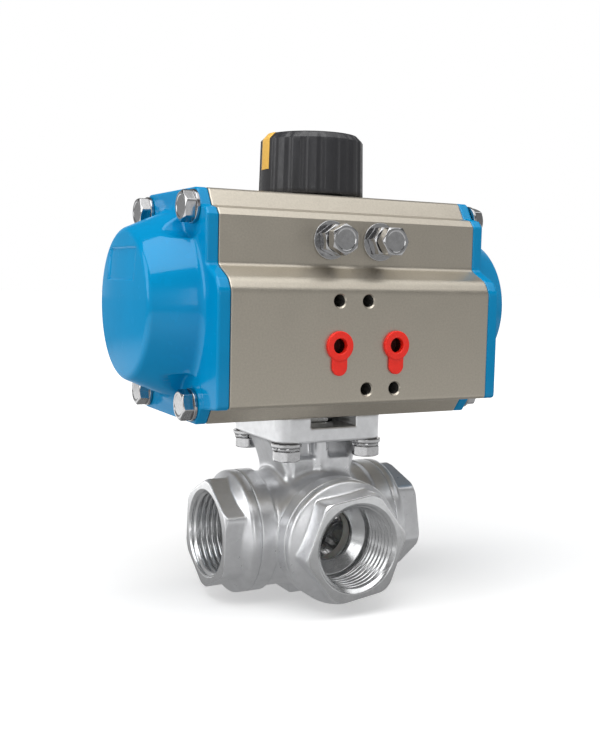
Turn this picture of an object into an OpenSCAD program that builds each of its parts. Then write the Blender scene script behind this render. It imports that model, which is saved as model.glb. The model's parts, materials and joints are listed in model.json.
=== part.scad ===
// Three-way ball valve with a rack-and-pinion pneumatic actuator bolted straight on its pad.
// X runs through the two run ports and the actuator bore, -Y points to the branch port,
// +Z goes up the stem. The origin is the middle of the valve's bottom boss face.

/* [Valve] */
// Height of the three port axes above the bottom boss face
port_z = 26; // [26:0.1:26.5]
// Distance from the stem axis to each port face
port_reach = 43.5; // [43.5:0.5:48]
// Radius of the flow way through connectors and ball
flow_r = 10; // [8:0.5:10]
// Radius of the ball
ball_r = 18; // [17.8:0.1:18]
// Width across flats of the connector hexagons
port_hex = 38.5; // [37.5:0.5:39.5]
// Side of the square top pad
pad_side = 46; // [45:0.5:48]

/* [Actuator] */
// Length of the extruded body
body_len = 108.5; // [106:0.5:116]
// Radius of the cylinder bore
bore_r = 31.5; // [31.4:0.1:31.6]
// Thickness of the end cap flanges
cap_flange_t = 4.75; // [4.5:0.25:6]
// Height of the end cap domes above their flanges, up to the middle of the crowned face
dome_h = 20; // [19:0.5:24]

/* [Gear] */
// Module of the rack and pinion teeth
gear_module = 1.5; // [1.5:0.1:1.5]
// Number of pinion teeth
pinion_teeth = 14; // [14:2:14]

/* [Colours] */
// Colour of the anodised body
body_colour = "#a0988c"; // ["#a0988c", "#8c8c8c"]
// Colour of the painted end caps
cap_colour = "#008cc8"; // ["#008cc8", "#c83c28"]

/* [Hidden] */
$fn = 96;

steel = "#c8cacc";
cast_steel = "#b4b6b8";
rubber = "#202020";
ptfe = "#f2f2ee";
alloy = "#c4c4c0";

// Overlap that lets a cut break through a face cleanly
cut = 1;
// Radial gap between a shaft and the hole it turns or slides in
run_gap = 0.06;
// Radial gap between parts that screw or press together
seat_gap = 0.05;

// Valve levels, up the stem
pad_low_z = 63;
pad_top_z = 73.2;
packing_low_z = 55;
stem_r = 6;
packing_r = 8.5;
nut_pocket_r = 10.8;
slot_depth = 4.4;
slot_w = 20;
plinth_top_z = 55.5;
drive_square = 9;
drive_top_z = 84;

// Valve radii and distances out from the stem axis along each port
collar_r = 24;
housing_r = 22.8;
collar_start = 23.3;
collar_end = 30;
cavity_r = 18.5;
seat_r = 16;
seat_start = 12.3;
seat_end = 19.4;
joint_r = 20;
spigot_start = 17;
ring_end = 34;
hex_start = 36.5;
thread_minor_r = 15.15;
thread_major_r = 16.62;
thread_end = 26;
relief_end = 24;
relief_r = 16.9;
cone_end = 21.5;

// Actuator levels and section
body_low_z = pad_top_z;
body_top_z = 157;
bore_z = (body_low_z + body_top_z) / 2;
half_len = body_len / 2;
air_z = 102;
air_pitch = 24;
namur_pitch = 32;
front_y = -46.2;
upper_face_y = -35;
pad_bolt_off = 25 * sin(45);
cap_screw_y = 23.5;
cap_screw_z = 35;
accessory_x = 40;
accessory_y = 15;
stop_x = 10.5;
stop_z = 139.8;
cam_stop = 10;
gallery_y = -38;
gallery_z = 92;

// Fasteners
m6_r = 3;
m6_hex = 10;
m6_head = 4;
m6_washer_r = 6;
m6_washer_t = 1.2;
m5_r = 2.1;
air_r = 4.28;
air_mouth_r = 4.9;

// End cap domes: a straight cone, then a low crown with a flat recess for a label
dome_base_r = 35.2;
dome_edge_r = 27.5;
crown_h = 2;
crown_flat_r = 6;
crown_steps = 4;
dome_wall = 3;
hollow_r = 27.5;
hollow_end_r = 23;
screw_seat_r = 11;
label_w = 30;
label_h = 11.4;
label_z = 129.8;
label_tilt = 4.4;
label_sunk = 1.5;

// Pistons at rest, pulled in to the middle
piston_in_x = 26;
piston_out_x = 37;
piston_r = bore_r - 0.08;
rack_low_z = bore_z - 8;
rack_h = 16;
arm_end_x = 25;
pitch_r = gear_module * pinion_teeth / 2;
tooth_pitch = PI * gear_module;
tooth_slack = 0.12;
rack_tip_y = pitch_r - 0.8 * gear_module;
rack_root_y = pitch_r + 1.25 * gear_module;

// Shaft
journal_r = 11;
shaft_r = 7;
shaft_low_z = 73.6;
gear_low_z = 104;
gear_high_z = 126;
cam_low_z = 136;
cam_high_z = 141.5;
cam_r = 16.4;
cam_seat_r = 8.2;
cam_flats = 14.2;
cam_seat_top_z = 145;
ring_z = 158.3;
top_flat_z = 160.5;
shaft_top_z = 172;
knob_low_z = 158;
knob_top_z = 181.5;
pointer_w = 6;
pointer_drop = 14;
knob_r = 20.2;

// ---- Outline helpers ----

function unit(v) = v / norm(v);

// Points of one corner of an outline, rounded with radius r
function corner(before, at, after, r, steps = 6) =
    r <= 0 ? [at] :
    let (a = unit(before - at),
         b = unit(after - at),
         half = acos(a * b) / 2,
         start = at + a * r / tan(half),
         end = at + b * r / tan(half),
         mid = at + unit(a + b) * r / sin(half))
    [for (i = [0 : steps]) mid + r * unit((start - mid) * (1 - i / steps) + (end - mid) * i / steps)];

// An outline given as [x, y, corner radius] turned into plain points
function rounded(path) =
    let (n = len(path), xy = [for (p = path) [p[0], p[1]]])
    [for (i = [0 : n - 1]) each corner(xy[(i + n - 1) % n], xy[i], xy[(i + 1) % n], path[i][2])];

// Cross-section of the actuator in Y and Z, with the air connection face on the -Y side
body_path = [
    [-24.5, body_top_z, 2.5], [-28.4, 150.6, 0.5], [-33, 149.6, 0.4], [upper_face_y, 147.2, 0.8],
    [upper_face_y, 130, 1.5], [-43.8, 125.6, 2], [front_y, 121.6, 2], [front_y, 80.7, 1],
    [-30.6, 79, 0.5], [-26.3, body_low_z, 1.2],
    [26.3, body_low_z, 1.2], [30.6, 79, 0.5], [35, 81, 1.2],
    [35, 147.2, 0.8], [33, 149.6, 0.4], [28.4, 150.6, 0.5], [24.5, body_top_z, 2.5]
];

// ---- Placing helpers ----

// Along +X from x, on the line y, z
module along_x(x, y, z) {
    translate([x, y, z]) rotate([0, 90, 0]) children();
}

// Towards -Y from y, on the line x, z
module towards_front(x, y, z) {
    translate([x, y, z]) rotate([90, 0, 0]) children();
}

module to_left() {
    mirror([1, 0, 0]) children();
}

// Port frames: the children's +Z runs out of the port, phase turns them about it
module left_port(phase = 0) {
    translate([0, 0, port_z]) rotate([0, -90, 0]) rotate([0, 0, phase]) children();
}

module right_port(phase = 0) {
    translate([0, 0, port_z]) rotate([0, 90, 0]) rotate([0, 0, phase]) children();
}

module branch_port(phase = 0) {
    translate([0, 0, port_z]) rotate([90, 0, 0]) rotate([0, 0, phase]) children();
}

module back_port() {
    translate([0, 0, port_z]) rotate([-90, 0, 0]) children();
}

// The four places of a pattern
module at_pattern(dx, dy, z) {
    for (sx = [-1, 1], sy = [-1, 1]) translate([sx * dx, sy * dy, z]) children();
}

module at_cap_screws(x) {
    for (sy = [-1, 1], sz = [-1, 1])
        along_x(x, sy * cap_screw_y, bore_z + sz * cap_screw_z) children();
}

// ---- Shape helpers ----

module ring(outer, inner, h) {
    difference() {
        cylinder(r = outer, h = h);
        translate([0, 0, -cut]) cylinder(r = inner, h = h + 2 * cut);
    }
}

module torus(mid_r, wire_r) {
    rotate_extrude() translate([mid_r, 0]) circle(r = wire_r);
}

// Hexagon bar with both ends chamfered round
module hex_bar(flats, h, chamfer = 0.6) {
    corner_r = flats / sqrt(3);
    intersection() {
        cylinder(r = corner_r, h = h, $fn = 6);
        rotate_extrude() polygon([
            [0, 0], [corner_r - chamfer, 0], [corner_r, chamfer * 0.6],
            [corner_r, h - chamfer * 0.6], [corner_r - chamfer, h], [0, h]
        ]);
    }
}

// Hexagon-head screw pointing down -Z, with its head standing on z = 0
module hex_screw(thread_r, length, flats, head_h) {
    hex_bar(flats, head_h);
    translate([0, 0, -length]) cylinder(r = thread_r - seat_gap, h = length + 0.1);
}

// Split ring with a narrow cut
module spring_washer(outer, inner, h) {
    difference() {
        ring(outer, inner, h);
        translate([inner - cut, -0.4, -cut]) cube([outer - inner + 2 * cut, 0.8, h + 2 * cut]);
    }
}

// ---- Valve ----

module port_collar() {
    translate([0, 0, collar_start]) cylinder(r1 = housing_r, r2 = collar_r, h = 1.2);
    translate([0, 0, collar_start + 1.2]) cylinder(r = collar_r, h = collar_end - collar_start - 1.2);
}

// Joint thread, gasket recess and the room for the ball, cut along one port
module port_cavity() {
    cylinder(r = cavity_r, h = spigot_start);
    translate([0, 0, spigot_start - cut]) cylinder(r = joint_r, h = collar_end);
    translate([0, 0, collar_end - 1]) cylinder(r = joint_r + 1.5, h = 2);
}

// One web from the plinth up to the pad edge, narrowing as it flares out
module side_web() {
    intersection() {
        rotate([90, 0, 0]) linear_extrude(30, center = true)
            polygon([[0, 40], [13.5, 40], [14.5, 50], [21.5, pad_low_z + 0.5], [0, pad_low_z + 0.5]]);
        rotate([90, 0, 90]) linear_extrude(30)
            polygon([
                [-13.5, 40], [13.5, 40], [13.5, 47],
                [9.5, pad_low_z + 0.5], [-9.5, pad_low_z + 0.5], [-13.5, 47]
            ]);
    }
}

module pad() {
    half = pad_side / 2;
    translate([0, 0, pad_low_z]) linear_extrude(pad_top_z - pad_low_z)
        polygon(rounded([[-half, -half, 6], [half, -half, 6], [half, half, 6], [-half, half, 6]]));
}

module neck() {
    translate([0, 0, 40]) cylinder(r = 10.4, h = pad_low_z - 39.5);
    translate([0, 0, 38]) linear_extrude(plinth_top_z - 38)
        polygon(rounded([[-13.5, -14, 2], [13.5, -14, 2], [13.5, 14, 2], [-13.5, 14, 2]]));
    side_web();
    to_left() side_web();
    for (side = [-1, 1]) {
        translate([-3.5, min(side * 12, 0), 40]) cube([7, 12, pad_low_z - 39.5]);
        translate([0, side * 12, 40]) cylinder(r = 3.5, h = pad_low_z - 39.5);
    }
}

module valve_body() {
    color(cast_steel) difference() {
        union() {
            along_x(-collar_start, 0, port_z) cylinder(r = housing_r, h = 2 * collar_start);
            branch_port() cylinder(r = housing_r, h = collar_start);
            left_port() port_collar();
            right_port() port_collar();
            branch_port() port_collar();
            back_port() cylinder(r = 18, h = 24.5);
            back_port() translate([0, 0, 24.5]) cylinder(r1 = 18, r2 = 16.8, h = 1.2);
            translate([-10, -8, 0]) cube([20, 16, 10]);
            neck();
            pad();
        }
        left_port() port_cavity();
        right_port() port_cavity();
        branch_port() port_cavity();
        back_port() cylinder(r = seat_r + seat_gap, h = seat_end + 0.1);
        translate([0, 0, port_z]) cylinder(r = 8.3, h = 48.5 - port_z);
        translate([0, 0, port_z]) cylinder(r = stem_r + run_gap, h = pad_top_z);
        translate([0, 0, packing_low_z]) cylinder(r = packing_r, h = pad_top_z);
        translate([0, 0, 64]) cylinder(r = nut_pocket_r, h = pad_top_z);
        translate([-slot_w / 2, -pad_side, pad_top_z - slot_depth]) cube([slot_w, 2 * pad_side, slot_depth + cut]);
        at_pattern(pad_bolt_off, pad_bolt_off, pad_low_z - cut) cylinder(r = m6_r + 0.3, h = pad_top_z);
    }
}

// Screwed end piece, from its seat pocket at the ball to its threaded port
module connector() {
    hex_corner = port_hex / sqrt(3);
    difference() {
        union() {
            nose_h = joint_r - spigot_start;
            translate([0, 0, spigot_start])
                cylinder(r1 = spigot_start - seat_gap, r2 = joint_r - seat_gap, h = nose_h);
            translate([0, 0, joint_r]) cylinder(r = joint_r - seat_gap, h = collar_end - joint_r);
            translate([0, 0, collar_end]) cylinder(r = collar_r, h = ring_end - collar_end);
            translate([0, 0, ring_end]) cylinder(r1 = collar_r, r2 = hex_corner, h = hex_start - ring_end);
            translate([0, 0, ring_end]) intersection() {
                cylinder(r = hex_corner, h = port_reach - ring_end, $fn = 6);
                union() {
                    cylinder(r = hex_corner, h = port_reach - ring_end - 1.2);
                    translate([0, 0, port_reach - ring_end - 1.2])
                        cylinder(r1 = hex_corner, r2 = hex_corner - 1.6, h = 1.2);
                }
            }
        }
        cylinder(r = flow_r, h = port_reach);
        cylinder(r = seat_r + seat_gap, h = seat_end + 0.1);
        translate([0, 0, cone_end]) cylinder(r1 = flow_r, r2 = thread_minor_r - 0.2, h = relief_end - cone_end);
        translate([0, 0, relief_end]) cylinder(r = relief_r, h = thread_end - relief_end);
        translate([0, 0, relief_end]) cylinder(r = thread_minor_r, h = port_reach);
        translate([0, 0, port_reach - 1.4])
            cylinder(r1 = thread_minor_r, r2 = thread_major_r + 0.1, h = 1.401);
    }
}

module left_connector() {
    color(cast_steel) left_port(56) connector();
}

module right_connector() {
    color(cast_steel) right_port(48) connector();
}

module branch_connector() {
    color(cast_steel) branch_port(8) connector();
}

module gasket() {
    translate([0, 0, collar_end - 0.98]) ring(joint_r + 1.45, joint_r + seat_gap, 0.96);
}

module left_gasket() {
    color(ptfe) left_port() gasket();
}

module right_gasket() {
    color(ptfe) right_port() gasket();
}

module branch_gasket() {
    color(ptfe) branch_port() gasket();
}

// Ball seat: a ring with a hollow face that follows the ball and a 45 degree back, so that neighbours clear
module seat() {
    difference() {
        rotate_extrude() polygon([
            [flow_r + 0.2, seat_start], [seat_start - 0.15, seat_start], [seat_r, seat_r + 0.15],
            [seat_r, seat_end], [flow_r + 0.2, seat_end]
        ]);
        sphere(r = ball_r + 0.04);
    }
}

module left_seat() {
    color(ptfe) left_port() seat();
}

module right_seat() {
    color(ptfe) right_port() seat();
}

module branch_seat() {
    color(ptfe) branch_port() seat();
}

module back_seat() {
    color(ptfe) back_port() seat();
}

// L-port ball: its elbow joins the branch port to the left port at rest
module ball() {
    color(steel) difference() {
        translate([0, 0, port_z]) sphere(r = ball_r);
        translate([0, 0, port_z]) sphere(r = flow_r);
        left_port() cylinder(r = flow_r, h = ball_r + cut);
        branch_port() cylinder(r = flow_r, h = ball_r + cut);
        translate([-ball_r, -3.1, port_z + ball_r - 4.5]) cube([2 * ball_r, 6.2, 5]);
    }
}

module square_bar(side, round_r, low, high) {
    translate([0, 0, low]) intersection() {
        translate([-side / 2, -side / 2, 0]) cube([side, side, high - low]);
        cylinder(r = round_r, h = high - low);
    }
}

module stem() {
    tang_low = port_z + ball_r - 4.4;
    color(steel) union() {
        translate([0, 0, tang_low]) intersection() {
            translate([-8, -3, 0]) cube([16, 6, 6]);
            cylinder(r = 7.6, h = 6);
        }
        translate([0, 0, 44.6]) cylinder(r = 8, h = 2.8);
        translate([0, 0, 44.6]) cylinder(r = stem_r, h = 71.8 - 44.6);
        square_bar(drive_square, stem_r, 71, drive_top_z);
    }
}

module stem_thrust_washer() {
    color(ptfe) translate([0, 0, 47.46]) ring(8.2, stem_r + run_gap, 1);
}

module stem_packing() {
    color(ptfe) for (i = [0 : 2])
        translate([0, 0, packing_low_z + 0.02 + 2 * i]) ring(packing_r - 0.04, stem_r + run_gap, 1.94);
}

module gland_ring() {
    color(steel) translate([0, 0, packing_low_z + 6]) union() {
        ring(packing_r - seat_gap, stem_r + run_gap, 3.1);
        translate([0, 0, 3.1]) ring(9.4, stem_r + run_gap, 0.5);
    }
}

module belleville_washers() {
    color(steel) for (i = [0 : 1])
        translate([0, 0, 64.75 + i * 0.95]) rotate_extrude()
            polygon([[stem_r + seat_gap, 0.35], [9.2, 0], [9.2, 0.45], [stem_r + seat_gap, 0.9]]);
}

module stem_nut() {
    color(steel) translate([0, 0, 66.65]) difference() {
        hex_bar(18, 4);
        translate([0, 0, -cut]) cylinder(r = stem_r + seat_gap, h = 4 + 2 * cut);
    }
}

module stem_lock_washer() {
    color(steel) translate([0, 0, 70.7]) ring(9.6, stem_r + seat_gap, 0.8);
}

// ---- Bolts under the pad ----

module pad_bolts() {
    head_z = pad_low_z - 3;
    color(steel) at_pattern(pad_bolt_off, pad_bolt_off, head_z)
        rotate([180, 0, 20]) hex_screw(m6_r, 20, m6_hex, m6_head);
}

module pad_spring_washers() {
    color(steel) at_pattern(pad_bolt_off, pad_bolt_off, pad_low_z - 3) spring_washer(5.4, m6_r + 0.1, 1.6);
}

module pad_flat_washers() {
    color(steel) at_pattern(pad_bolt_off, pad_bolt_off, pad_low_z - 1.4) ring(m6_washer_r, m6_r + 0.2, 1.4);
}

// ---- Actuator body ----

module air_port_cut(x) {
    towards_front(x, front_y + 12, air_z) cylinder(r = air_r, h = 20);
    towards_front(x, front_y + 5, air_z) cylinder(r = air_mouth_r, h = 20);
}

module actuator_body() {
    color(body_colour) difference() {
        rotate([90, 0, 90]) translate([0, 0, -half_len]) linear_extrude(body_len)
            polygon(rounded(body_path));
        along_x(-half_len - cut, 0, bore_z) cylinder(r = bore_r, h = body_len + 2 * cut);
        // Shaft bores with their bush seats
        translate([0, 0, body_low_z - cut]) cylinder(r = journal_r + 0.1, h = 20);
        translate([0, 0, 79.5]) cylinder(r = 12.6, h = 10);
        translate([0, 0, body_top_z - 20]) cylinder(r = shaft_r + 0.1, h = 20 + cut);
        translate([0, 0, 140]) cylinder(r = 9, h = 11.5);
        // Air ports: the left one opens between the pistons, the right one feeds the end galleries
        air_port_cut(-air_pitch / 2);
        air_port_cut(air_pitch / 2);
        towards_front(-air_pitch / 2, 0, air_z) cylinder(r = 2.5, h = -front_y - 10);
        along_x(-half_len - cut, gallery_y, gallery_z) cylinder(r = 2.2, h = body_len + 2 * cut);
        translate([air_pitch / 2, gallery_y, gallery_z]) cylinder(r = 1.8, h = air_z - gallery_z);
        // Valve-island screw holes beside the air ports
        for (p = [[-air_pitch / 2, 1], [0, 1], [0, -1], [air_pitch / 2, -1]])
            towards_front(p[0], front_y + 9, air_z + p[1] * namur_pitch / 2) cylinder(r = m5_r, h = 20);
        // Travel stops
        for (side = [-1, 1]) {
            towards_front(side * stop_x, 0, stop_z) cylinder(r = m6_r + 0.1, h = 60);
            towards_front(side * stop_x, upper_face_y + 1.6, stop_z) cylinder(r = 4.6, h = 4);
        }
        // Accessory screws on top, end cap screws and valve pad screws
        at_pattern(accessory_x, accessory_y, body_top_z - 9) cylinder(r = m5_r, h = 9 + cut);
        at_cap_screws(-half_len - cut) cylinder(r = m6_r, h = 14 + cut);
        at_cap_screws(half_len - 14) cylinder(r = m6_r, h = 14 + cut);
        at_pattern(pad_bolt_off, pad_bolt_off, body_low_z - cut) cylinder(r = m6_r, h = 9 + cut);
    }
}

// ---- End caps ----

// Step i up the crown, from its edge to the flat in the middle
function crown_point(i) =
    let (t = 1 - i / crown_steps)
    [crown_flat_r + (dome_edge_r - crown_flat_r) * t, crown_h * (1 - t * t)];

module end_cap() {
    face_x = half_len + cap_flange_t;
    cone_h = dome_h - crown_h;
    difference() {
        union() {
            rotate([90, 0, 90]) translate([0, 0, half_len]) linear_extrude(cap_flange_t)
                polygon(rounded(body_path));
            along_x(face_x, 0, bore_z) cylinder(r1 = dome_base_r, r2 = dome_edge_r, h = cone_h);
            along_x(face_x + cone_h, 0, bore_z) rotate_extrude()
                polygon(concat([[0, 0]], [for (i = [0 : crown_steps]) crown_point(i)], [[0, crown_h]]));
        }
        along_x(half_len - cut, 0, bore_z) cylinder(r = bore_r - 1, h = cut + 3);
        along_x(half_len + 2, 0, bore_z)
            cylinder(r1 = hollow_r, r2 = hollow_end_r, h = cap_flange_t - 2 + cone_h - dome_wall);
        translate([face_x + dome_h - label_sunk, 0, label_z]) rotate([0, -label_tilt, 0])
            translate([0, -label_w / 2, -label_h / 2]) cube([4, label_w, label_h]);
        // Seal groove and the air way from the gallery under it
        along_x(half_len - cut, 0, bore_z) ring(bore_r + 2.5, bore_r + 0.5, cut + 1.5);
        along_x(half_len - cut, gallery_y, gallery_z) cylinder(r = 2.2, h = cut + 3.4);
        translate([half_len + 2.9, gallery_y, gallery_z]) rotate([-68, 0, 0]) cylinder(r = 0.9, h = 18);
        at_cap_screws(half_len - cut) cylinder(r = m6_r + 0.3, h = 30);
        at_cap_screws(face_x) cylinder(r = screw_seat_r, h = 30);
    }
}

module cap_seal() {
    along_x(half_len + 0.76, 0, bore_z) torus(bore_r + 1.5, 0.74);
}

module cap_screws() {
    at_cap_screws(half_len + cap_flange_t + m6_washer_t)
        rotate([0, 0, 15]) hex_screw(m6_r, 17, m6_hex, m6_head);
}

module cap_washers() {
    at_cap_screws(half_len + cap_flange_t) ring(m6_washer_r, m6_r + 0.2, m6_washer_t);
}

module left_end_cap() {
    color(cap_colour) to_left() end_cap();
}

module right_end_cap() {
    color(cap_colour) end_cap();
}

module left_cap_seal() {
    color(rubber) to_left() cap_seal();
}

module right_cap_seal() {
    color(rubber) cap_seal();
}

module left_cap_screws() {
    color(steel) to_left() cap_screws();
}

module right_cap_screws() {
    color(steel) cap_screws();
}

module left_cap_washers() {
    color(steel) to_left() cap_washers();
}

module right_cap_washers() {
    color(steel) cap_washers();
}

// ---- Shaft ----

base_r = pitch_r * cos(20);
function involute_angle(r) = r <= base_r ? 0 : let (t = acos(base_r / r)) tan(t) * 180 / PI - t;
half_tooth_deg = (tooth_pitch / 2 - tooth_slack) / 2 / pitch_r * 180 / PI + involute_angle(pitch_r);

// Right flank of one pinion tooth from root to tip, at the given radii
flank_radii = [pitch_r - 1.25 * gear_module, base_r, 10.1, 10.5, 11, 11.5, pitch_r + gear_module];
function flank_point(r, mid, side) =
    let (a = mid + side * (half_tooth_deg - involute_angle(r))) r * [cos(a), sin(a)];

module pinion_outline() {
    tooth_step = 360 / pinion_teeth;
    flanks = len(flank_radii);
    polygon([for (k = [0 : pinion_teeth - 1]) each concat(
        [for (i = [0 : flanks - 1]) flank_point(flank_radii[i], 90 + k * tooth_step, -1)],
        [for (i = [flanks - 1 : -1 : 0]) flank_point(flank_radii[i], 90 + k * tooth_step, 1)]
    )]);
}

// Shaft section with two flats that drives the stop cam
module cam_seat(grow, low, high) {
    translate([0, 0, low]) intersection() {
        cylinder(r = cam_seat_r + grow, h = high - low);
        translate([-10, -cam_flats / 2 - grow, 0]) cube([20, cam_flats + 2 * grow, high - low]);
    }
}

module pinion() {
    color(steel) difference() {
        union() {
            translate([0, 0, shaft_low_z]) cylinder(r = journal_r, h = gear_low_z - shaft_low_z);
            translate([0, 0, gear_low_z]) linear_extrude(gear_high_z - gear_low_z) pinion_outline();
            translate([0, 0, gear_high_z]) cylinder(r = shaft_r, h = top_flat_z - gear_high_z);
            translate([0, 0, gear_high_z]) cylinder(r = cam_seat_r, h = cam_low_z - gear_high_z);
            cam_seat(0, cam_low_z, cam_seat_top_z);
            square_bar(10, 6.5, top_flat_z - 0.5, shaft_top_z);
        }
        square_bar(drive_square + 0.1, stem_r + 0.1, shaft_low_z - cut, drive_top_z + 1.5);
        translate([0, 0, 75.6]) ring(20, journal_r - 1.75, 2.6);
        translate([0, 0, 153]) ring(12, shaft_r - 1.55, 2.2);
        translate([0, 0, ring_z]) ring(12, shaft_r - 0.9, 1.2);
        translate([0, 0, shaft_top_z - 9]) cylinder(r = 2, h = 9 + cut);
    }
}

// Stop cam: a lobe whose two flat ends meet the stop bolts at the ends of travel
module stop_cam() {
    thick = cam_high_z - cam_low_z;
    color(steel) difference() {
        translate([0, 0, cam_low_z]) union() {
            cylinder(r = cam_stop, h = thick);
            intersection() {
                cylinder(r = cam_r, h = thick);
                union() {
                    translate([0, -cam_stop, 0]) cube([2 * cam_r, 2 * cam_r, thick]);
                    translate([-cam_stop, 0, 0]) cube([2 * cam_r, 2 * cam_r, thick]);
                }
            }
        }
        cam_seat(seat_gap, cam_low_z - cut, cam_high_z + cut);
    }
}

module lower_bush() {
    color(ptfe) translate([0, 0, 79.52]) ring(12.55, journal_r + run_gap, 3.8);
}

module upper_bush() {
    color(ptfe) translate([0, 0, 147]) ring(8.95, shaft_r + run_gap, 4.45);
}

module lower_shaft_seal() {
    color(rubber) translate([0, 0, 76.9]) torus(journal_r + 0.08 - 0.9, 0.9);
}

module upper_shaft_seal() {
    color(rubber) translate([0, 0, 154.1]) torus(shaft_r + 0.08 - 0.8, 0.8);
}

module shaft_thrust_washer() {
    color(ptfe) translate([0, 0, body_top_z + 0.05]) ring(11, shaft_r + seat_gap, 1.2);
}

module retaining_ring() {
    color(steel) translate([0, 0, ring_z + 0.02]) difference() {
        ring(9.6, shaft_r - 0.85, 1.15);
        translate([-3, 0, -cut]) cube([6, 20, 4]);
    }
}

// ---- Pistons ----

// Rack outline in X and Y: teeth face the shaft, the back follows the bore
module rack_outline() {
    tip_half = tooth_pitch / 4 - tooth_slack / 2 - (pitch_r - rack_tip_y) * tan(20);
    root_half = tooth_pitch / 4 - tooth_slack / 2 + (rack_root_y - pitch_r) * tan(20);
    difference() {
        translate([-arm_end_x, -bore_r - cut]) square([piston_in_x + arm_end_x + 1, bore_r + cut - rack_tip_y]);
        for (i = [-5 : 5])
            polygon([
                [i * tooth_pitch - tooth_pitch / 2 + root_half, -rack_root_y],
                [i * tooth_pitch - tooth_pitch / 2 + tip_half, -rack_tip_y + 0.01],
                [i * tooth_pitch + tooth_pitch / 2 - tip_half, -rack_tip_y + 0.01],
                [i * tooth_pitch + tooth_pitch / 2 - root_half, -rack_root_y]
            ]);
    }
}

// Right piston: its rack arm passes the shaft on the -Y side
module piston() {
    difference() {
        union() {
            along_x(piston_in_x, 0, bore_z) cylinder(r = piston_r, h = piston_out_x - piston_in_x);
            intersection() {
                translate([0, 0, rack_low_z]) linear_extrude(rack_h) rack_outline();
                along_x(-arm_end_x - cut, 0, bore_z) cylinder(r = bore_r - 0.6, h = 60);
            }
        }
        along_x(28.5, 0, bore_z) ring(bore_r + cut, bore_r - 2.1, 2.6);
        along_x(33.2, 0, bore_z) ring(bore_r + cut, bore_r - 1.4, 2.6);
        along_x(30, 0, bore_z) cylinder(r = 22, h = 10);
        translate([-20, -bore_r, bore_z - 6]) cube([32, bore_r - 28.4, 12]);
    }
}

module piston_seal() {
    along_x(29.8, 0, bore_z) torus(bore_r - run_gap - 1, 1);
}

module guide_ring() {
    along_x(33.25, 0, bore_z) ring(bore_r - run_gap, bore_r - 1.38, 2.5);
}

module rack_pad() {
    intersection() {
        translate([-19.9, -bore_r, bore_z - 5.9]) cube([31.8, bore_r - 28.45, 11.8]);
        along_x(-30, 0, bore_z) cylinder(r = bore_r - run_gap, h = 60);
    }
}

// The left piston is the right one turned half a turn about the shaft
module left_side_piston() {
    rotate([0, 0, 180]) children();
}

module left_piston() {
    color(alloy) left_side_piston() piston();
}

module right_piston() {
    color(alloy) piston();
}

module left_piston_seal() {
    color(rubber) left_side_piston() piston_seal();
}

module right_piston_seal() {
    color(rubber) piston_seal();
}

module left_guide_ring() {
    color(ptfe) left_side_piston() guide_ring();
}

module right_guide_ring() {
    color(ptfe) guide_ring();
}

module left_rack_pad() {
    color(ptfe) left_side_piston() rack_pad();
}

module right_rack_pad() {
    color(ptfe) rack_pad();
}

// ---- Travel stops ----

module stop_bolt(turned) {
    head_y = upper_face_y - 8;
    towards_front(0, head_y, stop_z) rotate([0, 0, turned])
        hex_screw(m6_r + 0.02, -head_y - cam_stop - 0.05, m6_hex, m6_head);
}

module left_stop_bolt() {
    color(steel) translate([-stop_x, 0, 0]) stop_bolt(0);
}

module right_stop_bolt() {
    color(steel) translate([stop_x, 0, 0]) stop_bolt(30);
}

module stop_nuts() {
    color(steel) for (side = [-1, 1])
        towards_front(side * stop_x, upper_face_y - m6_washer_t, stop_z) rotate([0, 0, 15 + side * 8])
            difference() {
                hex_bar(m6_hex, 5);
                translate([0, 0, -cut]) cylinder(r = m6_r + run_gap, h = 8);
            }
}

module stop_washers() {
    color(steel) for (side = [-1, 1])
        towards_front(side * stop_x, upper_face_y, stop_z) ring(7.1, m6_r + run_gap, m6_washer_t);
}

module stop_seals() {
    color(rubber) for (side = [-1, 1])
        towards_front(side * stop_x, upper_face_y + 0.8, stop_z) torus(3.83, 0.75);
}

// ---- Position indicator ----

module indicator() {
    flute_r = 3.2;
    flute_depth = 0.45;
    flutes = 20;
    color("#3c3c3e") difference() {
        rotate_extrude() polygon([
            [0, knob_low_z], [knob_r + 0.5, knob_low_z], [knob_r, knob_top_z - 2.5],
            [knob_r - 2.2, knob_top_z], [0, knob_top_z]
        ]);
        for (i = [1 : flutes - 1])
            rotate([0, 0, 180 + i * 360 / flutes]) translate([knob_r + flute_r - flute_depth, 0, knob_low_z - cut])
                cylinder(r = flute_r, h = knob_top_z - knob_low_z - 1.5);
        // Hollow underside with a square hub around the shaft
        translate([0, 0, knob_low_z - cut]) cylinder(r = 12.5, h = 4.5 + cut);
        translate([0, 0, knob_low_z + 4]) ring(17.4, 10, 16);
        translate([0, 0, knob_low_z - cut]) ring(17.4, 10, 6);
        square_bar(10.1, 6.6, knob_low_z, shaft_top_z + 0.1);
        translate([0, 0, 170]) cylinder(r = 2.2, h = 20);
        translate([0, 0, knob_top_z - 4]) cylinder(r = 4.6, h = 5);
        pointer_bar(0.05);
    }
}

// Inlaid bar down the left side and over the top edge
module pointer_bar(grow) {
    half = pointer_w / 2 + grow;
    translate([-knob_r - 0.6 - grow, -half, knob_top_z - pointer_drop - grow])
        cube([1.8 + 2 * grow, 2 * half, pointer_drop + cut]);
    translate([-knob_r + 0.5, -half, knob_top_z - 1.2 - grow]) cube([12, 2 * half, 2 + grow]);
}

module indicator_pointer() {
    color("#e6b950") intersection() {
        pointer_bar(0);
        rotate_extrude() polygon([
            [0, knob_low_z], [knob_r + 0.6, knob_low_z], [knob_r + 0.15, knob_top_z - 2.5],
            [knob_r - 2.1, knob_top_z], [0, knob_top_z]
        ]);
    }
}

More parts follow.
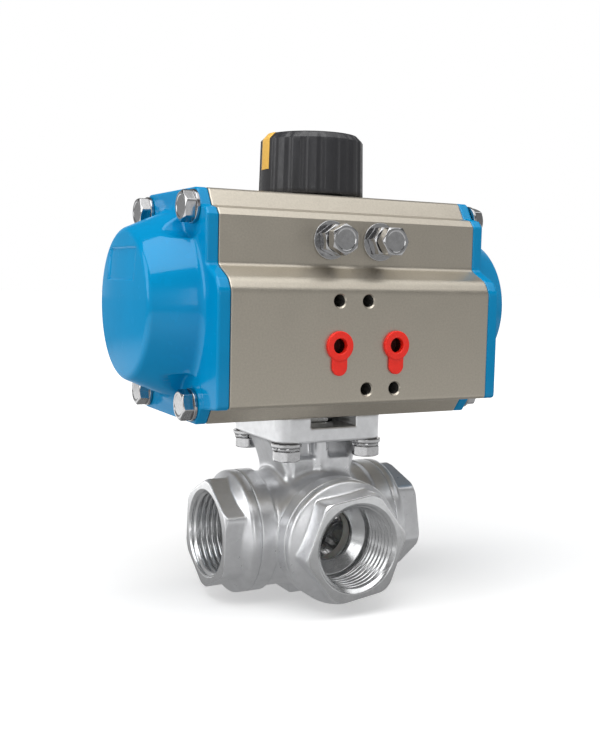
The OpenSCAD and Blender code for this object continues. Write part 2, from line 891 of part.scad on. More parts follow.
module indicator_screw() {
    color(steel) difference() {
        union() {
            translate([0, 0, knob_top_z - 4]) cylinder(r = 4.2, h = 2.6);
            translate([0, 0, shaft_top_z - 8]) cylinder(r = 1.95, h = knob_top_z - 4 - shaft_top_z + 8);
        }
        translate([0, 0, knob_top_z - 3.2]) cylinder(r = 1.7, h = 5, $fn = 6);
    }
}

// ---- Transport plugs ----

module port_plug() {
    towards_front(0, front_y, air_z) difference() {
        union() {
            cylinder(r = 5.3, h = 1.3);
            translate([-3.1, -7.6, 0]) cube([6.2, 7.6, 0.9]);
            translate([0, -7.6, 0]) cylinder(r = 3.1, h = 0.9);
            translate([0, 0, -4.8]) cylinder(r = air_mouth_r - seat_gap, h = 5);
        }
        translate([0, 0, -4]) cylinder(r = 2.65, h = 8);
    }
}

module left_port_plug() {
    color("#f03223") translate([-air_pitch / 2, 0, 0]) port_plug();
}

module right_port_plug() {
    color("#f03223") translate([air_pitch / 2, 0, 0]) port_plug();
}

valve_body();
left_connector();
right_connector();
branch_connector();
left_gasket();
right_gasket();
branch_gasket();
left_seat();
right_seat();
branch_seat();
back_seat();
ball();
stem();
stem_thrust_washer();
stem_packing();
gland_ring();
belleville_washers();
stem_lock_washer();
stem_nut();
pad_bolts();
pad_spring_washers();
pad_flat_washers();
actuator_body();
left_end_cap();
right_end_cap();
left_cap_seal();
right_cap_seal();
left_cap_screws();
right_cap_screws();
left_cap_washers();
right_cap_washers();
pinion();
stop_cam();
lower_bush();
upper_bush();
lower_shaft_seal();
upper_shaft_seal();
shaft_thrust_washer();
retaining_ring();
left_piston();
right_piston();
left_piston_seal();
right_piston_seal();
left_guide_ring();
right_guide_ring();
left_rack_pad();
right_rack_pad();
left_stop_bolt();
right_stop_bolt();
stop_nuts();
stop_washers();
stop_seals();
indicator();
indicator_pointer();
indicator_screw();
left_port_plug();
right_port_plug();
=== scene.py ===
"""Looks of the three-way ball valve and its pneumatic actuator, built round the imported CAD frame."""

import json
import math

import bmesh
import bpy
import numpy as np
from mathutils import Matrix, Vector


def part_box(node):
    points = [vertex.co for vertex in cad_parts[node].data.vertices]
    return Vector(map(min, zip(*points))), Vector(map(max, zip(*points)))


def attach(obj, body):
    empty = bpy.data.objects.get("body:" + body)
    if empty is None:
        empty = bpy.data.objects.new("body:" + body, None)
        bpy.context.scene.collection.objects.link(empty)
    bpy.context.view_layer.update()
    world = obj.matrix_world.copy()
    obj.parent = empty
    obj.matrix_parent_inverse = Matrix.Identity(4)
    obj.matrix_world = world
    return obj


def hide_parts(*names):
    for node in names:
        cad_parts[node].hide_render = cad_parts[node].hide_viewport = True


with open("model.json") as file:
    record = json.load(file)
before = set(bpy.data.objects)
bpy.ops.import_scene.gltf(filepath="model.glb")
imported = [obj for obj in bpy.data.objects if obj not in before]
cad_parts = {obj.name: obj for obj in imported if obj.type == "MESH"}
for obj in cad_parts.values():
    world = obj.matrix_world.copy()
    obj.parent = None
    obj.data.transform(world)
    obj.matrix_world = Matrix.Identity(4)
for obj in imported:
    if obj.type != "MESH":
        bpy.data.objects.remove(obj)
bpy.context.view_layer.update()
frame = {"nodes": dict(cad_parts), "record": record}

MM = 0.001
TAU = 2 * math.pi


def node_mm(name):
    """Lowest and highest corner of a CAD node in millimetres."""
    low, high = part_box(name)
    return np.array(low) / MM, np.array(high) / MM


# ---- Driving dimensions, in millimetres ----

mounts = {m["name"]: m for m in frame["record"]["mounts"]}
PORT_Z = mounts["branch_port"]["pos_m"][2] / MM
PORT_REACH = -node_mm("branch_connector")[0][1]
THREAD_MINOR_R = mounts["branch_port"]["dims"]["r_mm"]
PAD_TOP_Z = node_mm("valve_body")[1][2]
PAD_LOW_Z = node_mm("pad_flat_washers")[1][2]
BODY_HALF = node_mm("actuator_body")[1][0]
BODY_TOP_Z = node_mm("actuator_body")[1][2]
BORE_Z = (PAD_TOP_Z + BODY_TOP_Z) / 2
FRONT_Y = node_mm("actuator_body")[0][1]
CAP_FACE_X = node_mm("right_cap_washers")[0][0]
DOME_FACE_X = node_mm("right_end_cap")[1][0]
UPPER_FACE_Y = node_mm("stop_washers")[1][1]
AIR_Z = mounts["left_air_port"]["pos_m"][2] / MM
AIR_X = mounts["right_air_port"]["pos_m"][0] / MM
AIR_R = mounts["right_air_port"]["dims"]["r_mm"]
ISLAND_HALF = mounts["valve_island_screws_middle"]["dims"]["spacing_y_mm"] / 2
M5_MINOR_R = mounts["valve_island_screws_middle"]["dims"]["hole_r_mm"]
M5_MAJOR_R = 2.5
M5_PITCH = 0.8
M6_R = 3.0
M6_HEX = 10.0
M6_HEAD = 4.0
M6_PITCH = 1.0
M6_WASHER_R = 6.0
M6_WASHER_T = 1.2
M6_NUT = 5.0
CAP_SCREW_LENGTH = 17.0
PAD_BOLT_LENGTH = 19.5
PAD_WASHER_T = 1.4
SPRING_WASHER_R, SPRING_WASHER_T = 5.4, 1.6
STOP_WASHER_R = 7.1
STOP_HEAD_OUT = 8.0
CAM_R = 10.05
CAP_SCREW_Y = 23.5
CAP_SCREW_Z = 35.0
PAD_BOLT = 25 * math.sin(math.radians(45))
BORE_R = 31.5
LOWER_SHAFT_R = 11.1
UPPER_SHAFT_R = 7.1
ACCESSORY_X = mounts["accessory_screws"]["dims"]["spacing_x_mm"] / 2
ACCESSORY_Y = mounts["accessory_screws"]["dims"]["spacing_y_mm"] / 2
STOP_X = 10.5
STOP_Z = 139.8
PAD_HALF = 23.0
BALL_ROOM_R = 18.5
JOINT_R = 20.0
GASKET_R = 21.5
SEAT_R = 16.05
FLOW_R = 10.0
COLLAR_R = 24.0
COLLAR_START = 23.3
COLLAR_END = 30.0
HOUSING_R = 22.8
PORT_HEX = 38.5
G1_PITCH = 2.309
THREAD_MAJOR_R = 16.62
DOME_BASE_R = 35.2
DOME_EDGE_R = 27.5
CROWN_H = 2.0
SCREW_SEAT_R = 11.0
HOLLOW_R = 27.5
CAP_MOUTH_R = 30.5
GROOVE_MID_R = 33.0
LABEL_W, LABEL_H, LABEL_Z, LABEL_SUNK = 30.0, 11.4, 129.8, 0.6
KNOB_LOW_Z = node_mm("indicator")[0][2]
KNOB_TOP_Z = node_mm("indicator")[1][2]
KNOB_R = 20.2
SKIRT_R = 16.6
FLUTE_DEPTH = 0.55
FLUTE_HALF_DEG = 4.4
POINTER_DROP = 14.0

# Outline of the actuator in Y and Z with corner radii, the same as the CAD body's
BODY_PATH = [
    (-24.5, BODY_TOP_Z, 2.5), (-28.4, 150.6, 0.5), (-33, 149.6, 0.4), (UPPER_FACE_Y, 147.2, 0.8),
    (UPPER_FACE_Y, 130, 2.2), (-43.8, 125.6, 6), (FRONT_Y, 121.6, 5), (FRONT_Y, 80.7, 1.5),
    (-30.6, 79, 0.5), (-26.3, PAD_TOP_Z, 1.2),
    (26.3, PAD_TOP_Z, 1.2), (30.6, 79, 0.5), (35, 81, 1.2),
    (35, 147.2, 0.8), (33, 149.6, 0.4), (28.4, 150.6, 0.5), (24.5, BODY_TOP_Z, 2.5),
]


# ---- Meshes ----

def linked(name, data):
    """A new object with the given data, put in the scene."""
    piece = bpy.data.objects.new(name, data)
    bpy.context.scene.collection.objects.link(piece)
    return piece


def raw_mesh(name, points, faces):
    """An object from points in millimetres and faces as a list of corner numbers."""
    mesh = bpy.data.meshes.new(name)
    mesh.from_pydata((np.asarray(points, float) * MM).tolist(), [], faces)
    return linked(name, mesh)


def make_mesh(name, points, faces):
    """A smooth-shaded object from points in millimetres; doubled points are joined."""
    piece = raw_mesh(name, points, faces if isinstance(faces, list) else np.asarray(faces).tolist())
    work = bmesh.new()
    work.from_mesh(piece.data)
    bmesh.ops.remove_doubles(work, verts=work.verts, dist=0.002 * MM)
    bmesh.ops.recalc_face_normals(work, faces=work.faces)
    work.to_mesh(piece.data)
    work.free()
    piece.data.shade_smooth()
    return piece


def finish_piece(piece, body, slot, node):
    """Gives a new piece the look of its slot, its body and the CAD node that it stands for."""
    if not piece.data.materials:
        piece.data.materials.append(SLOT_LOOK[slot])
    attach(piece, body)
    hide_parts(node)


def grid_faces(rows, columns, wrap_rows=False, first=0):
    """Quads of a grid of points whose columns run round and whose rows may."""
    r = np.arange(rows if wrap_rows else rows - 1)
    c = np.arange(columns)
    r, c = np.meshgrid(r, c, indexing="ij")
    r2, c2 = (r + 1) % rows, (c + 1) % columns
    corners = [r * columns + c, r * columns + c2, r2 * columns + c2, r2 * columns + c]
    return np.stack(corners, -1).reshape(-1, 4) + first


def eased(rows, ease, closed=False):
    """Rounds the corners of profiles given as (rows, columns, 2) and adds support rows beside them."""
    rows = np.asarray(rows, float)
    count = len(rows)
    out = []
    for i in range(count):
        here = rows[i]
        if not closed and i in (0, count - 1):
            out.append(here)
            continue
        back, ahead = rows[i - 1] - here, rows[(i + 1) % count] - here
        back_len = np.maximum(np.linalg.norm(back, axis=-1, keepdims=True), 1e-9)
        ahead_len = np.maximum(np.linalg.norm(ahead, axis=-1, keepdims=True), 1e-9)
        near = np.minimum(ease, 0.22 * np.minimum(back_len, ahead_len))
        start, end = here + back / back_len * near, here + ahead / ahead_len * near
        out += [here + back / back_len * 2 * near, start, 0.25 * start + 0.5 * here + 0.25 * end,
                end, here + ahead / ahead_len * 2 * near]
    return np.array(out)


def spun(rows, closed=False):
    """Points and faces of a turned shape: rows are (rows, columns, 2) of radius and height."""
    rows = np.asarray(rows, float)
    columns = rows.shape[1]
    theta = round_angles(columns)
    x, y = rows[..., 0] * np.cos(theta), rows[..., 0] * np.sin(theta)
    points = np.stack([x, y, rows[..., 1]], -1).reshape(-1, 3)
    return points, grid_faces(len(rows), columns, closed)


def turned_rows(pairs, columns):
    """Rows for spun() from pairs of radius and height, each one number or one for every column."""
    like = np.zeros(columns)
    return np.array([np.stack(np.broadcast_arrays(r, z, like)[:2], -1) for r, z in pairs], float)


def round_angles(columns):
    return np.arange(columns) * TAU / columns


def joined(parts):
    """Several (points, faces) as one."""
    points, faces, first = [], [], 0
    for some_points, some_faces in parts:
        points.append(some_points)
        faces.append(np.asarray(some_faces) + first)
        first += len(some_points)
    return np.concatenate(points), np.concatenate(faces)


def placed(part, matrix):
    """(points, faces) moved by a 4 x 4 matrix in millimetres."""
    points, faces = part
    m = np.array(matrix)
    return points @ m[:3, :3].T + m[:3, 3], faces


def at(x, y, z, *turns):
    """A matrix that turns by (degrees, axis) pairs, the last first, and then moves."""
    m = Matrix.Translation((x, y, z))
    for degrees, axis in turns:
        m = m @ Matrix.Rotation(math.radians(degrees), 4, axis)
    return m


# ---- Signed distance shapes, all in millimetres ----

def smooth_min(a, b, k):
    h = np.clip(0.5 + 0.5 * (b - a) / k, 0, 1)
    return b + (a - b) * h - k * h * (1 - h)


def smooth_max(a, b, k):
    return -smooth_min(-a, -b, k)


def rounded_and(a, b, edge):
    """Where two half spaces meet, with the outer edge rounded."""
    inner = np.minimum(np.maximum(a + edge, b + edge), 0)
    return inner + np.hypot(np.maximum(a + edge, 0), np.maximum(b + edge, 0)) - edge


def rod(radial, along, r, low, high, edge=0.4):
    return rounded_and(radial - r, np.maximum(low - along, along - high), edge)


def block2(u, v, half_u, half_v, edge):
    return rounded_and(np.abs(u) - half_u, np.abs(v) - half_v, edge)


def crossings(values, inside, mixed):
    """Mean place, in cells, where the surface cuts the edges of each mixed cell."""
    corner = np.stack(np.nonzero(mixed), -1)
    total, count = np.zeros((len(corner), 3)), np.zeros((len(corner), 1))
    for axis in range(3):
        others = [i for i in range(3) if i != axis]
        for beside in ((0, 0), (0, 1), (1, 0), (1, 1)):
            start = corner.copy()
            start[:, others] += beside
            end = start.copy()
            end[:, axis] += 1
            a, b = values[tuple(start.T)], values[tuple(end.T)]
            cut = (inside[tuple(start.T)] != inside[tuple(end.T)])[:, None]
            t = (a / np.where(a == b, 1, a - b))[:, None]
            total += np.where(cut, start + t * (end - start), 0)
            count += cut
    return corner, total / np.maximum(count, 1)


def surface_net(field, low, high, cell, settle=3):
    """Quads over the surface where field(x, y, z) is zero, drawn onto it by a few Newton steps."""
    low = np.array(low, float)
    size = np.ceil((np.array(high, float) - low) / cell).astype(int) + 1
    axes = [low[i] + cell * np.arange(size[i]) for i in range(3)]
    grid = np.meshgrid(*axes, indexing="ij", sparse=True)
    values = np.broadcast_to(field(*grid), size)
    inside = values < 0
    count = sum(
        inside[i:size[0] - 1 + i, j:size[1] - 1 + j, k:size[2] - 1 + k].astype(np.int8)
        for i in (0, 1) for j in (0, 1) for k in (0, 1)
    )
    mixed = (count > 0) & (count < 8)
    corner, mean = crossings(values, inside, mixed)
    points = low + mean * cell
    index = np.full(mixed.shape, -1)
    index[mixed] = np.arange(len(corner))
    faces = []
    for axis in range(3):
        u, v = (axis + 1) % 3, (axis + 2) % 3
        a = np.take(inside, range(size[axis] - 1), axis)
        b = np.take(inside, range(1, size[axis]), axis)
        edge = np.stack(np.nonzero(a != b), -1)
        across = edge[:, [u, v]]
        edge = edge[((across > 0) & (across < size[[u, v]] - 1)).all(-1)]
        ring = []
        for du, dv in ((0, 0), (1, 0), (1, 1), (0, 1)):
            cell_at = edge.copy()
            cell_at[:, u] -= du
            cell_at[:, v] -= dv
            ring.append(index[tuple(cell_at.T)])
        quad = np.stack(ring, -1)
        outward = inside[tuple(edge.T)]
        faces.append(np.where(outward[:, None], quad, quad[:, ::-1]))
    for _ in range(settle):
        points = points + newton_step(field, points, cell)
    return points, np.concatenate(faces)


def newton_step(field, points, cell):
    """The move that takes each point onto the surface, at most half a cell."""
    step = 0.1 * cell
    value = field(*points.T)
    slope = np.empty_like(points)
    for axis in range(3):
        ahead, behind = points.copy(), points.copy()
        ahead[:, axis] += step
        behind[:, axis] -= step
        slope[:, axis] = (field(*ahead.T) - field(*behind.T)) / (2 * step)
    steep = np.maximum((slope ** 2).sum(-1, keepdims=True), 0.05)
    return np.clip(-value[:, None] * slope / steep, -cell / 2, cell / 2)


# ---- Outlines ----

def rounded_outline(path, steps=6, support=0.35):
    """Plain points of an outline given as (x, y, corner radius), with a support point beside each arc."""
    points = []
    corners = [np.array(p[:2], float) for p in path]
    for i, (here, r) in enumerate(zip(corners, [p[2] for p in path])):
        a, b = corners[i - 1] - here, corners[(i + 1) % len(path)] - here
        a, b = a / np.linalg.norm(a), b / np.linalg.norm(b)
        half = math.acos(float(np.clip(a @ b, -1, 1))) / 2
        reach = r / math.tan(half)
        centre = here + (a + b) / np.linalg.norm(a + b) * r / math.sin(half)
        start, end = here + a * reach - centre, here + b * reach - centre
        points.append(here + a * (reach + support))
        for k in range(steps + 1):
            spoke = start * (1 - k / steps) + end * k / steps
            points.append(centre + spoke / np.linalg.norm(spoke) * r)
        points.append(here + b * (reach + support))
    return np.array(points)


def outline_distance(outline, u, v):
    """Signed distance from points to a closed outline, negative inside."""
    nearest = np.full(u.shape, 1e9)
    inside = np.zeros(u.shape, bool)
    for (ax, ay), (bx, by) in zip(outline, np.roll(outline, -1, axis=0)):
        ex, ey = bx - ax, by - ay
        length2 = ex * ex + ey * ey
        if length2 < 1e-12:
            continue
        t = np.clip(((u - ax) * ex + (v - ay) * ey) / length2, 0, 1)
        nearest = np.minimum(nearest, np.hypot(u - ax - t * ex, v - ay - t * ey))
        if ay != by:
            inside ^= ((ay > v) != (by > v)) & (u < (v - ay) * ex / ey + ax)
    return np.where(inside, -nearest, nearest)


class OutlineTable:
    """Distances to an outline kept on a fine grid, so that many points can be looked up quickly."""

    def __init__(self, outline, low, high, step=0.2):
        self.low, self.step = np.array(low, float), step
        size = np.ceil((np.array(high) - self.low) / step).astype(int) + 1
        u, v = np.meshgrid(*[self.low[i] + step * np.arange(size[i]) for i in (0, 1)], indexing="ij")
        self.table = outline_distance(outline, u, v)

    def __call__(self, u, v):
        u, v = np.broadcast_arrays(u, v)
        a = (u - self.low[0]) / self.step
        b = (v - self.low[1]) / self.step
        i = np.clip(a.astype(int), 0, self.table.shape[0] - 2)
        j = np.clip(b.astype(int), 0, self.table.shape[1] - 2)
        s, t = a - i, b - j
        low = self.table[i, j] * (1 - s) + self.table[i + 1, j] * s
        high = self.table[i, j + 1] * (1 - s) + self.table[i + 1, j + 1] * s
        return low * (1 - t) + high * t


# ---- Materials ----

def linear(red, green, blue):
    """A colour given as 0 to 255 display values, as linear light."""
    display = (red, green, blue)
    return tuple(((c / 255 + 0.055) / 1.055) ** 2.4 if c > 10 else c / 255 / 12.92 for c in display) + (1,)


def add_node(tree, kind, *sources, **settings):
    """A new node with its settings; sources go to its inputs in order, as sockets or as values."""
    node = tree.nodes.new("ShaderNode" + kind)
    for name, value in settings.items():
        setattr(node, name, value)
    for socket, source in zip(node.inputs, sources):
        if isinstance(source, bpy.types.NodeSocket):
            tree.links.new(source, socket)
        elif source is not None:
            socket.default_value = source
    return node


class Surface:
    """A Principled material with helpers for its noise, tint, roughness and bump nodes."""

    def __init__(self, name, colour, **sockets):
        self.material = bpy.data.materials.new(name)
        self.material.use_nodes = True
        self.material.diffuse_color = colour
        self.tree = self.material.node_tree
        self.shader = self.tree.nodes["Principled BSDF"]
        self.colour = colour
        self.shader.inputs["Base Color"].default_value = colour
        for socket, value in sockets.items():
            self.shader.inputs[socket.replace("_", " ")].default_value = value
        self.place = self.add("TexCoord").outputs["Object"]
        self.normal = None

    def add(self, kind, *sources, **settings):
        return add_node(self.tree, kind, *sources, **settings)

    def link(self, source, target):
        self.tree.links.new(source, target)

    def stretched(self, x, y, z):
        """Object coordinates scaled along each axis."""
        return self.add("Mapping", self.place, None, None, (x, y, z)).outputs["Vector"]

    def noise(self, size_mm, detail=3, rough=0.55, vector=None):
        """Noise with features of about size_mm, from 0 to 1."""
        node = self.add("TexNoise", vector or self.place)
        node.inputs["Scale"].default_value = 1 / (size_mm * MM)
        node.inputs["Detail"].default_value = detail
        node.inputs["Roughness"].default_value = rough
        return node.outputs["Fac"]

    def spread(self, source, low, high):
        """The middle of the source's range mapped to low..high."""
        return self.add("MapRange", source, 0.3, 0.7, low, high).outputs["Result"]

    def tint(self, source, dark, light):
        """Base colour between dark and light times the colour."""
        node = self.add("Mix", self.spread(source, 0, 1), data_type="RGBA")
        node.inputs[6].default_value = tuple(c * dark for c in self.colour[:3]) + (1,)
        node.inputs[7].default_value = tuple(min(c * light, 1) for c in self.colour[:3]) + (1,)
        self.link(node.outputs[2], self.shader.inputs["Base Color"])

    def roughness(self, source, low, high):
        self.link(self.spread(source, low, high), self.shader.inputs["Roughness"])

    def bump(self, source, height_mm):
        """Adds one layer of bump of about height_mm."""
        node = self.add("Bump")
        node.inputs["Strength"].default_value = 1.0
        node.inputs["Distance"].default_value = height_mm * MM
        self.link(source, node.inputs["Height"])
        if self.normal:
            self.link(self.normal, node.inputs["Normal"])
        self.normal = node.outputs["Normal"]
        self.link(self.normal, self.shader.inputs["Normal"])


def anodised_body():
    """Fine blasted, champagne grey anodising with faint drawing lines along the extrusion."""
    s = Surface("anodised_body", linear(188, 181, 168), Metallic=0.88, Roughness=0.38, Specular_IOR_Level=0.4)
    s.tint(s.noise(0.7, 2, 0.6), 0.93, 1.05)
    s.roughness(s.noise(9, 3, 0.6), 0.33, 0.42)
    s.bump(s.noise(0.55, 2, 0.7), 0.012)
    s.bump(s.noise(1.2, 2, 0.6, s.stretched(0.02, 1, 1)), 0.004)
    return s.material


def cap_paint():
    """Glossy sky-blue powder coat with a slight orange peel."""
    s = Surface("cap_paint", linear(0, 141, 196), Metallic=0.06, Roughness=0.35, Specular_IOR_Level=0.0,
                Coat_Weight=0.24, Coat_Roughness=0.09, Coat_IOR=1.9)
    s.tint(s.noise(14, 2), 0.97, 1.03)
    s.roughness(s.noise(6, 2), 0.2, 0.28)
    s.bump(s.noise(2.6, 2, 0.5), 0.018)
    s.bump(s.noise(0.5, 1, 0.5), 0.0012)
    return s.material


def cast_stainless():
    """Satin, tumbled investment casting: fine grain and soft cloudy patches."""
    s = Surface("cast_stainless", linear(236, 237, 239), Metallic=0.78, Roughness=0.33)
    s.tint(s.noise(5, 4, 0.65), 0.90, 1.04)
    s.roughness(s.noise(3.2, 4, 0.7), 0.27, 0.40)
    s.bump(s.noise(0.35, 2, 0.7), 0.010)
    s.bump(s.noise(2.4, 3, 0.6), 0.020)
    return s.material


def turned_stainless(name, axis):
    """Lathe-turned steel: fine rings round the given axis through the port height."""
    s = Surface(name, linear(226, 227, 228), Metallic=0.9, Roughness=0.2, Anisotropic=0.4)
    keep = [0.0 if i == axis else 1.0 for i in range(3)]
    centre = s.add("VectorMath", s.place, (0, 0, PORT_Z * MM), operation="SUBTRACT").outputs[0]
    across = s.add("VectorMath", centre, keep, operation="MULTIPLY").outputs[0]
    radius = s.add("VectorMath", across, operation="LENGTH").outputs["Value"]
    along = s.add("SeparateXYZ", centre).outputs[axis]
    rings = s.noise(0.16, 2, 0.6, s.add("CombineXYZ", radius, along).outputs[0])
    s.tint(s.noise(2.5, 3), 0.93, 1.04)
    s.roughness(s.noise(1.5, 3), 0.15, 0.26)
    s.bump(rings, 0.006)
    return s.material


def bright_fastener():
    """Bright stainless bolts with light handling marks."""
    s = Surface("bright_fastener", linear(182, 182, 183), Metallic=1.0, Roughness=0.2)
    s.tint(s.noise(1.6, 3), 0.9, 1.04)
    s.roughness(s.noise(0.9, 4, 0.7), 0.10, 0.24)
    s.bump(s.noise(0.4, 2, 0.6), 0.004)
    return s.material


def machined_steel():
    s = Surface("machined_steel", linear(212, 212, 210), Metallic=1.0, Roughness=0.2)
    s.tint(s.noise(2, 3), 0.93, 1.03)
    s.roughness(s.noise(1.1, 3), 0.14, 0.26)
    s.bump(s.noise(0.5, 2), 0.003)
    return s.material


def polished_ball():
    """Mirror-finished ball with a few faint lapping marks."""
    s = Surface("polished_ball", linear(200, 200, 200), Metallic=1.0, Roughness=0.08)
    s.tint(s.noise(4, 2), 0.96, 1.03)
    s.roughness(s.noise(0.8, 3), 0.05, 0.12)
    return s.material


def piston_alloy():
    s = Surface("piston_alloy", linear(196, 196, 192), Metallic=0.9, Roughness=0.4)
    s.tint(s.noise(3, 4), 0.92, 1.04)
    s.roughness(s.noise(2, 3), 0.33, 0.48)
    s.bump(s.noise(0.6, 3), 0.012)
    return s.material


def knob_plastic():
    """Matt black moulded plastic, slightly streaked down its sides."""
    s = Surface("knob_plastic", linear(44, 44, 47), Roughness=0.4, Specular_IOR_Level=0.5)
    s.tint(s.noise(3.2, 3, 0.6, s.stretched(1, 1, 0.2)), 0.82, 1.2)
    s.roughness(s.noise(1.6, 3), 0.32, 0.46)
    s.bump(s.noise(0.3, 2, 0.7), 0.008)
    s.bump(s.noise(1.0, 2, 0.5, s.stretched(1, 1, 0.05)), 0.010)
    return s.material


def pointer_plastic():
    s = Surface("pointer_plastic", linear(240, 190, 88), Roughness=0.48, Specular_IOR_Level=0.4)
    s.tint(s.noise(1.4, 3), 0.92, 1.05)
    s.roughness(s.noise(0.8, 2), 0.42, 0.55)
    s.bump(s.noise(0.3, 2), 0.006)
    return s.material


def plug_plastic():
    """Soft red polyethylene."""
    s = Surface("plug_plastic", linear(250, 46, 32), Roughness=0.42, Specular_IOR_Level=0.4,
                Subsurface_Weight=0.12, Subsurface_Scale=0.001)
    s.tint(s.noise(2, 2), 0.94, 1.04)
    s.roughness(s.noise(1.2, 2), 0.36, 0.5)
    s.bump(s.noise(0.35, 2), 0.006)
    return s.material


def white_polymer():
    s = Surface("white_polymer", linear(236, 235, 228), Roughness=0.45,
                Subsurface_Weight=0.1, Subsurface_Scale=0.001)
    s.tint(s.noise(2, 2), 0.95, 1.02)
    s.roughness(s.noise(1, 2), 0.38, 0.52)
    s.bump(s.noise(0.3, 2), 0.004)
    return s.material


def black_rubber():
    s = Surface("black_rubber", linear(30, 30, 31), Roughness=0.6)
    s.tint(s.noise(1.5, 2), 0.8, 1.25)
    s.roughness(s.noise(0.7, 2), 0.5, 0.7)
    s.bump(s.noise(0.25, 2), 0.008)
    return s.material


SLOT_LOOK = {look.__name__: look() for look in (
    cast_stainless, machined_steel, bright_fastener, anodised_body, cap_paint, piston_alloy,
    knob_plastic, pointer_plastic, plug_plastic, white_polymer, black_rubber,
)}


def painted_hole_shade():
    """Painted shade down a tapped hole: dark bare metal that stands in for the shade inside."""
    s = Surface("painted_hole_shade", linear(50, 48, 45), Metallic=0.5, Roughness=0.5)
    s.tint(s.noise(1.2, 3), 0.7, 1.15)
    s.roughness(s.noise(0.6, 2), 0.4, 0.6)
    s.bump(s.noise(0.3, 2), 0.006)
    return s.material


def plug_well():
    """The shaded inside of a hollow plug."""
    s = Surface("plug_well", linear(58, 10, 8), Roughness=0.55, Specular_IOR_Level=0.3)
    s.tint(s.noise(1, 2), 0.75, 1.2)
    s.roughness(s.noise(0.6, 2), 0.45, 0.65)
    s.bump(s.noise(0.3, 2), 0.006)
    return s.material


def paint_shade_in_holes(piece, material, holes, deeper_than):
    """Paints shade: gives the dark material to faces down holes that run along Y; holes are (x, z, radius).
    """
    centres = np.empty(len(piece.data.polygons) * 3)
    piece.data.polygons.foreach_get("center", centres)
    x, y, z = (centres.reshape(-1, 3) / MM).T
    inside = np.zeros(len(x), bool)
    for hole_x, hole_z, r in holes:
        inside |= np.hypot(x - hole_x, z - hole_z) < r
    piece.data.materials.append(material)
    inside &= (y > FRONT_Y + deeper_than) & (y < FRONT_Y + 15)
    piece.data.polygons.foreach_set("material_index", inside.astype(int))


def dress_cad_nodes():
    """Each CAD node that stays gets the material of its slot."""
    for part in frame["record"]["subparts"]:
        piece = frame["nodes"][part["node"]]
        for slot in piece.material_slots:
            slot.material = SLOT_LOOK[part["material_slot"]]
    for slot in frame["nodes"]["ball"].material_slots:
        slot.material = polished_ball()


# ---- Threads ----

def thread_rise(theta, along, pitch):
    """Right-hand thread form from 0 at the crest to 1 at the root, rounded like a cut pipe thread."""
    phase = (along - pitch * theta / TAU) / pitch
    ramp = np.abs(2 * (phase - np.floor(phase)) - 1)
    return np.clip((ramp - 0.5) * 1.25 + 0.5, 0, 1)


def m5_cutter(columns=36, per_turn=6):
    """Solid that cuts a tapped M5 hole from z = 0 downwards, with a mouth chamfer and a drill point."""
    theta = round_angles(columns)
    depth, chamfer = 9.0, 0.35
    turns = np.linspace(-chamfer, -depth, int(depth / M5_PITCH * per_turn))
    pairs = [(0, 1)]
    for z in (1.0, 0.0, *turns):
        mouth = M5_MAJOR_R + chamfer * 0.6 + min(z, 0)
        thread = M5_MINOR_R + (M5_MAJOR_R - M5_MINOR_R) * thread_rise(theta, z, M5_PITCH)
        pairs.append((mouth if z >= 0 else np.maximum(thread, mouth), z))
    pairs += [(M5_MINOR_R, -depth - 0.05), (0, -depth - M5_MINOR_R * 0.6)]
    return spun(turned_rows(pairs, columns))


def plain_cutter(r, low, high, columns=64):
    return spun(turned_rows([(0, low), (r, low), (r, high), (0, high)], columns))


# ---- Fasteners ----

def hex_radius(theta, flats, crisp=60):
    """Distance from the axis to a hexagon's side, its corners slightly rounded."""
    total = sum(np.maximum(np.cos(theta - k * TAU / 6), 0) ** crisp for k in range(6))
    return flats / 2 / total ** (1 / crisp)


def hex_solid(height, hole_r=0.0, columns=96):
    """M6 hexagon standing on z = 0: a nut chamfered at both ends or, with no hole, a dished bolt head."""
    rim = hex_radius(round_angles(columns), M6_HEX)
    face_r = 0.95 * M6_HEX / 2
    drop = (rim - face_r) * math.tan(math.radians(30))
    if hole_r:
        edge_r, edge = hole_r + 0.35, 0.35
        pairs = [(edge_r, 0), (face_r, 0), (rim, drop), (rim, height - drop), (face_r, height),
                 (edge_r, height), (hole_r, height - edge), (hole_r, edge)]
    else:
        dished = height - 0.22
        pairs = [(0, 0), (rim, 0), (rim, height - drop), (face_r, height), (face_r - 0.7, height),
                 (face_r - 1.1, dished), (0, dished)]
    closed = bool(hole_r)
    return spun(eased(turned_rows(pairs, columns), 0.13, closed), closed)


def threaded_rod(r, low, high, pitch, columns=36, per_turn=8):
    """External thread of outer radius r between two heights, closed at both ends."""
    theta = round_angles(columns)
    pairs = [(0, low)]
    for z in np.linspace(low, high, int((high - low) / pitch * per_turn) + 2):
        lead = min(0.0, (z - low) - 0.6)
        pairs.append((np.minimum(r - 0.61 * pitch * thread_rise(theta, z, pitch), r + lead), z))
    pairs.append((0, high))
    return spun(turned_rows(pairs, columns))


def hex_bolt(length):
    """M6 bolt with its head standing on z = 0 and its threaded shank below."""
    return joined([hex_solid(M6_HEAD), threaded_rod(M6_R - 0.06, -length, 0.05, M6_PITCH)])


def washer(outer, inner, thick):
    rows = turned_rows([(inner, 0), (outer, 0), (outer, thick), (inner, thick)], 72)
    return spun(eased(rows, 0.18, closed=True), closed=True)


